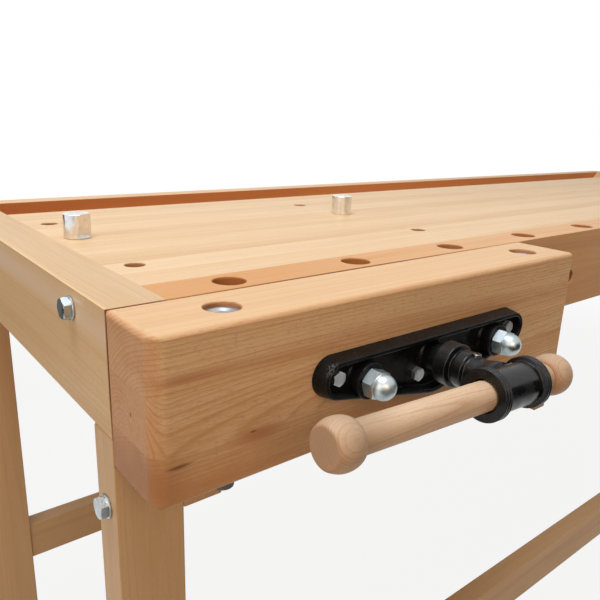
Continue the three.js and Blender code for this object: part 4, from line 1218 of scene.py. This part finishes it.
def knob_profile():
    """Knob from its flat end face, over its crown, to the bar."""
    profile = []
    for i in range(CURVE_STEPS + 1):
        t = i / CURVE_STEPS
        profile.append((KNOB_FACE_RADIUS + (KNOB_RADIUS - KNOB_FACE_RADIUS) * t * (2 - t), KNOB_CROWN * t))
    start = Vector(profile[0])
    tangent = (Vector(profile[1]) - start).normalized()
    soft = rounded([(0, 0), start, start + KNOB_FACE_REACH * KNOB_FACE_ROUND * tangent], KNOB_FACE_ROUND)
    profile = soft[:-1] + [point for point in profile if point[1] > soft[-2][1] + KNOB_LEAST_STEP]
    for i in range(1, CURVE_STEPS + 1):
        turn = math.pi / 2 * i / CURVE_STEPS
        profile.append((HANDLE_RADIUS + (KNOB_RADIUS - HANDLE_RADIUS) * math.cos(turn),
                        KNOB_CROWN + (KNOB_LENGTH - KNOB_CROWN) * math.sin(turn)))
    return profile


def handle(name, turning, material):
    slide = HANDLE_SLIDES[name]
    shoulder = HANDLE_LENGTH - KNOB_LENGTH
    tenon_end = shoulder + TENON_LENGTH
    profile = knob_profile() + [(HANDLE_RADIUS, shoulder), (TENON_RADIUS, shoulder),
                                (TENON_RADIUS, tenon_end), (0, tenon_end)]
    left = facing((slide - HANDLE_LENGTH / 2, -HUB_REACH, -HANDLE_SAG), (1, 0, 0), UP)
    add_piece(name + "_handle_bar", placed(turned(profile), turning @ left), material)
    socket = bore(TENON_RADIUS + SEAT_GAP, KNOB_LENGTH - TENON_LENGTH - 2 * SEAT_GAP,
                  KNOB_LENGTH + OVERRUN)
    knob = carved(turned(knob_profile() + [(0, KNOB_LENGTH)]), cuts=[socket])
    right = facing((slide + HANDLE_LENGTH / 2 + SEAT_GAP, -HUB_REACH, -HANDLE_SAG), (-1, 0, 0), UP)
    add_piece(name + "_handle_knob", placed(knob, turning @ right), material)


# Knots, stains and painted shade of the front jaw, in mm: place right of, behind and below its upper left
# front corner, then reach along, into and up the jaw; a stain or painted shade also has a strength and a tint
JAW_KNOTS = [
    ((0, 35, 67), (4, 2.2, 3)),
    ((18, 0, 99), (15, 5, 2.6)),
    ((81, 0, 90), (5, 3, 1.4)),
]
JAW_STAINS_AND_SHADE = [
    ((30, 0, 34), (60, 16, 6), 0.8, RED_STREAK),
    ((110, 0, 36), (80, 12, 6), 0.55, RED_STREAK),
    ((86, 0, 94), (32, 12, 12), 0.95, RED_STREAK),
    # painted shade along the bottom of the front
    ((60, 0, 121), (140, 14, 14), 0.55, RED_STREAK),
    # painted shadow under the plate
    ((240, 0, 112), (90, 14, 14), 0.6, RED_STREAK),
    # the lower part of the left end, darker and browner
    ((0, 35.5, 118), (44, 200, 40), 1.0, END_BROWN),
]
# Hearts of its three layers, in mm behind and above its upper front edge, and their slopes
JAW_HEARTS = [(-30, -260, 0.03), (50, -93, -0.07), (-22, -130, 0.04)]
HANDLE_HEARTS = {"front": (0.294, -0.19), "end": (-0.19, -0.294)}
GRIP_REACH = 2.4
GRIP_STRENGTH = 0.75
SCUFF_ON_PLATE = Vector((-127.4 * MM, -PLATE_DEPTH, 17.2 * MM))


def jaw_wood(name, place, grain):
    low, high = local_box(name + "_jaw", place)
    front, top = (place @ low).y, (place @ high).z

    def spot(centre, reach):
        right, back, down = (distance * MM for distance in centre)
        corner = Vector((low.x + right, low.y + back, high.z - down))
        return place @ corner, Vector(size * MM for size in reach)

    marks, blushes, hearts = [], [], None
    if name == "front":
        marks = [spot(*knot) for knot in JAW_KNOTS]
        blushes = [(*spot(centre, reach), strength, tint) for centre, reach, strength, tint in JAW_STAINS_AND_SHADE]
        hearts = [((front + back * MM, top + rise * MM), slope) for back, rise, slope in JAW_HEARTS]
    layers = (Z, top - len(JAW_TONES) * LAMINATION, LAMINATION, JAW_TONES)
    return beech("beech_jaw_" + name, name + "_jaw", grain, WARM, WARM_DEEP, seed=41.0 + grain, strips=layers,
                 hearts=hearts, marks=marks, blushes=blushes, ring=3.4 * MM, wander=0.012, rings=0.8,
                 streaks=0.2, ends=0.44, vivid=2.3, calm=0.6, end_rings=0.2)


def handle_wood(name, grain):
    """Pale turned beech that darkens towards both knobs."""
    bar = name + "_handle_bar"
    ball = Vector((KNOB_RADIUS, KNOB_RADIUS, KNOB_RADIUS))
    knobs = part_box(bar)[0] + ball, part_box(name + "_handle_knob")[1] - ball
    grip = [(knob, ball * GRIP_REACH, GRIP_STRENGTH, KNOB_TAN) for knob in knobs]
    return beech("beech_handle_" + name, bar, grain, TURNED, TURNED_DEEP, seed=51.0,
                 heart=HANDLE_HEARTS[name], ring=1.7 * MM, wander=0.008, streaks=0.1, rings=1.2, ends=0.34,
                 bore_shade=False, vivid=1.5, calm=1.5, end_rings=1.1, blushes=grip)


def vise(name, grain):
    place = vise_frame(name)
    turning = place @ Matrix.Rotation(HANDLE_TILT, 4, "Y")
    scuffed = place @ SCUFF_ON_PLATE
    iron = enamelled("plate_enamel_" + name, scuffed, dullest=0.40, sheen=0.14)
    gloss = enamelled("hub_enamel_" + name, scuffed, dullest=0.36, sheen=0.32)
    jaw(name, place, jaw_wood(name, place, grain))
    vise_plate(name, place, iron)
    plate_screws(name, place, LIT_SATIN_ZINC)
    cap_nuts(name, place, BRIGHT)
    guide_rods(name, place, BRIGHT)
    spindle(name, place, BRIGHT)
    nut_housing(name, place, iron)
    hub(name, turning, gloss)
    grub_screw(name, turning, GRUB_STEEL)
    handle(name, turning, handle_wood(name, grain))


ZINC = plated("zinc", colour(0.52, 0.57, 0.58), colour(0.38, 0.43, 0.45), 0.28)
# Paler, rougher copy of the zinc for the plate screws; its paler tint is painted light
LIT_SATIN_ZINC = plated("lit_satin_zinc", colour(0.80, 0.83, 0.82), colour(0.66, 0.70, 0.70), 0.42)
BRIGHT = plated("bright_steel", colour(0.52, 0.59, 0.60), colour(0.40, 0.47, 0.49), 0.36)
GRUB_STEEL = plated("grub_steel", colour(0.20, 0.21, 0.22), colour(0.10, 0.11, 0.11), 0.30)
DOG_STEEL = plated("dog_steel", colour(0.84, 0.83, 0.82), colour(0.70, 0.70, 0.70), 0.14, turning=Z)
# The tails of the jaw dogs below the jaw's middle get painted shade
JAW_DOG_STEEL = plated("jaw_dog_steel", colour(0.48, 0.50, 0.51), colour(0.32, 0.34, 0.35), 0.34,
                       turning=Z, shade_below=middle_of("front_jaw").z)

front_beam()
top_panel()
end_cap("left", seed=5.0)
end_cap("right", seed=9.0)
tool_tray()
base()
bolts(ZINC)
for dog_node in DOG_TURNS:
    dog(dog_node, JAW_DOG_STEEL if "jaw" in dog_node else DOG_STEEL)
vise("front", X)
vise("end", Y)


# Stage

CAMERA_FROM_CORNER = Vector((-0.155626, -0.415972, 0.937949))
CAMERA_RIGHT = Vector((0.78374205, -0.62014318, 0.03421731))
CAMERA_DOWN = Vector((-0.15124507, -0.24399879, -0.95790893))
CAMERA_AHEAD = Vector((0.60238968, 0.74557831, -0.28502571))
CAMERA_LENS = 36.949
SENSOR_WIDTH = 36.0
NEAR_CLIP = 10 * MM
FLOOR_HALF = 30.0
FLOOR_TINT = colour(0.48, 0.44, 0.39)
SHADOW_SHARE = 0.11
FADE_FROM = 1.6
FADE_TO = 3.2
MATT = 0.9
WHITE = colour(1, 1, 1)
WORLD_LIGHT = 0.18
FLAG_GREY = colour(0.03, 0.03, 0.035)
# Name, place, target, size, power and tint of each lamp
LAMPS = [
    ("top_light", (-1.2, -0.1, 3.0), (-0.5, 0.1, 0.8), (1.5, 1.3), 41.0, (0.96, 1.0, 1.10)),
    ("left_light", (-3.2, -0.6, 1.6), (-0.5, 0.0, 0.7), (1.6, 1.6), 12.2, (1.0, 0.84, 0.69)),
    ("front_light", (-1.9, -2.6, 2.1), (-0.6, -0.2, 0.7), (1.8, 1.2), 20.5, (1.0, 0.66, 0.40)),
]
# Name, place, size and facing of each dark card
FLAGS = [
    ("front_flag", (0.5, -1.2, 0.55), (2.4, 1.1), (0, 1, 0)),
    ("back_flag", (-1.9, 1.6, 0.45), (1.5, 0.9), (0, -1, 0)),
    ("low_flag", (-2.4, -2.4, 0.03), (3.4, 3.0), (0, 0, 1)),
]


def seen_directly(s):
    """1 for rays that show the background itself: camera, glossy and transmission rays."""
    path = s.node("LightPath").outputs
    either = s.math("MAXIMUM", path["Is Camera Ray"], path["Is Glossy Ray"])
    return s.math("MAXIMUM", either, path["Is Transmission Ray"])


def card(half):
    """Flat square mesh with a given half-width about the origin."""
    bm = bmesh.new()
    bmesh.ops.create_grid(bm, x_segments=1, y_segments=1, size=half)
    return mesh_from(bm)


def add_floor():
    floor = new_object("floor", card(FLOOR_HALF))
    s = Shader("pale_floor")
    place = s.node("TexCoord").outputs["Object"]
    fade = s.remap(s.vector("LENGTH", place), FADE_FROM, FADE_TO, 1 - SHADOW_SHARE, 1.0)
    white = s.node("Emission", {"Color": WHITE, "Strength": 1.0}).outputs[0]
    share = s.math("MULTIPLY", fade, seen_directly(s))
    matt = s.tree.nodes["Principled BSDF"].outputs[0]
    shown = s.node("MixShader", {0: share, 1: matt, 2: white}).outputs[0]
    s.tree.links.new(shown, s.tree.nodes["Material Output"].inputs["Surface"])
    floor.data.materials.append(s.finish(Base_Color=FLOOR_TINT, Roughness=MATT, Specular_IOR_Level=0.1))


def add_world():
    s = Shader("studio", bpy.data.worlds)
    bpy.context.scene.world = s.owner
    light = s.tree.nodes["Background"]
    s.feed(light, {"Color": WHITE, "Strength": WORLD_LIGHT})
    white = s.node("Background", {"Color": WHITE}).outputs[0]
    shown = s.node("MixShader", {0: seen_directly(s), 1: light.outputs[0], 2: white}).outputs[0]
    s.tree.links.new(shown, s.tree.nodes["World Output"].inputs["Surface"])


def add_lamp(name, place, target, size, power, tint):
    data = bpy.data.lights.new(name, "AREA")
    data.shape = "RECTANGLE"
    data.size, data.size_y = size
    data.energy = power
    data.color = tint
    lamp = new_object(name, data)
    lamp.location = place
    lamp.rotation_mode = "QUATERNION"
    lamp.rotation_quaternion = (Vector(target) - Vector(place)).to_track_quat("-Z", "Y")


def add_flag(name, place, size, axis):
    """Dark card that only shows in reflections, to give the metal some contrast."""
    width, height = size
    mesh = placed(card(1), Matrix.Diagonal((height / 2, width / 2, 1, 1)))
    up = UP if axis[Z] == 0 else Vector((0, 1, 0))
    flag = new_object(name, placed(mesh, facing(place, axis, up)))
    for kind in ("camera", "diffuse", "shadow", "transmission", "volume_scatter"):
        setattr(flag, "visible_" + kind, False)
    s = Shader(name)
    flag.data.materials.append(s.finish(Base_Color=FLAG_GREY, Roughness=MATT, Specular_IOR_Level=0.0))


def add_camera():
    data = bpy.data.cameras.new("camera")
    data.sensor_width = SENSOR_WIDTH
    data.lens = CAMERA_LENS
    data.clip_start = NEAR_CLIP
    camera = new_object("camera", data)
    matrix = Matrix((CAMERA_RIGHT, -CAMERA_DOWN, -CAMERA_AHEAD)).transposed().to_4x4()
    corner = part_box("end_cap_left")[0]
    matrix.translation = CAMERA_FROM_CORNER + Vector((corner.x, corner.y, 0))
    camera.matrix_world = matrix
    bpy.context.scene.camera = camera


add_camera()
add_floor()
add_world()
for lamp_values in LAMPS:
    add_lamp(*lamp_values)
for flag_values in FLAGS:
    add_flag(*flag_values)
bpy.context.scene.view_settings.view_transform = "Standard"
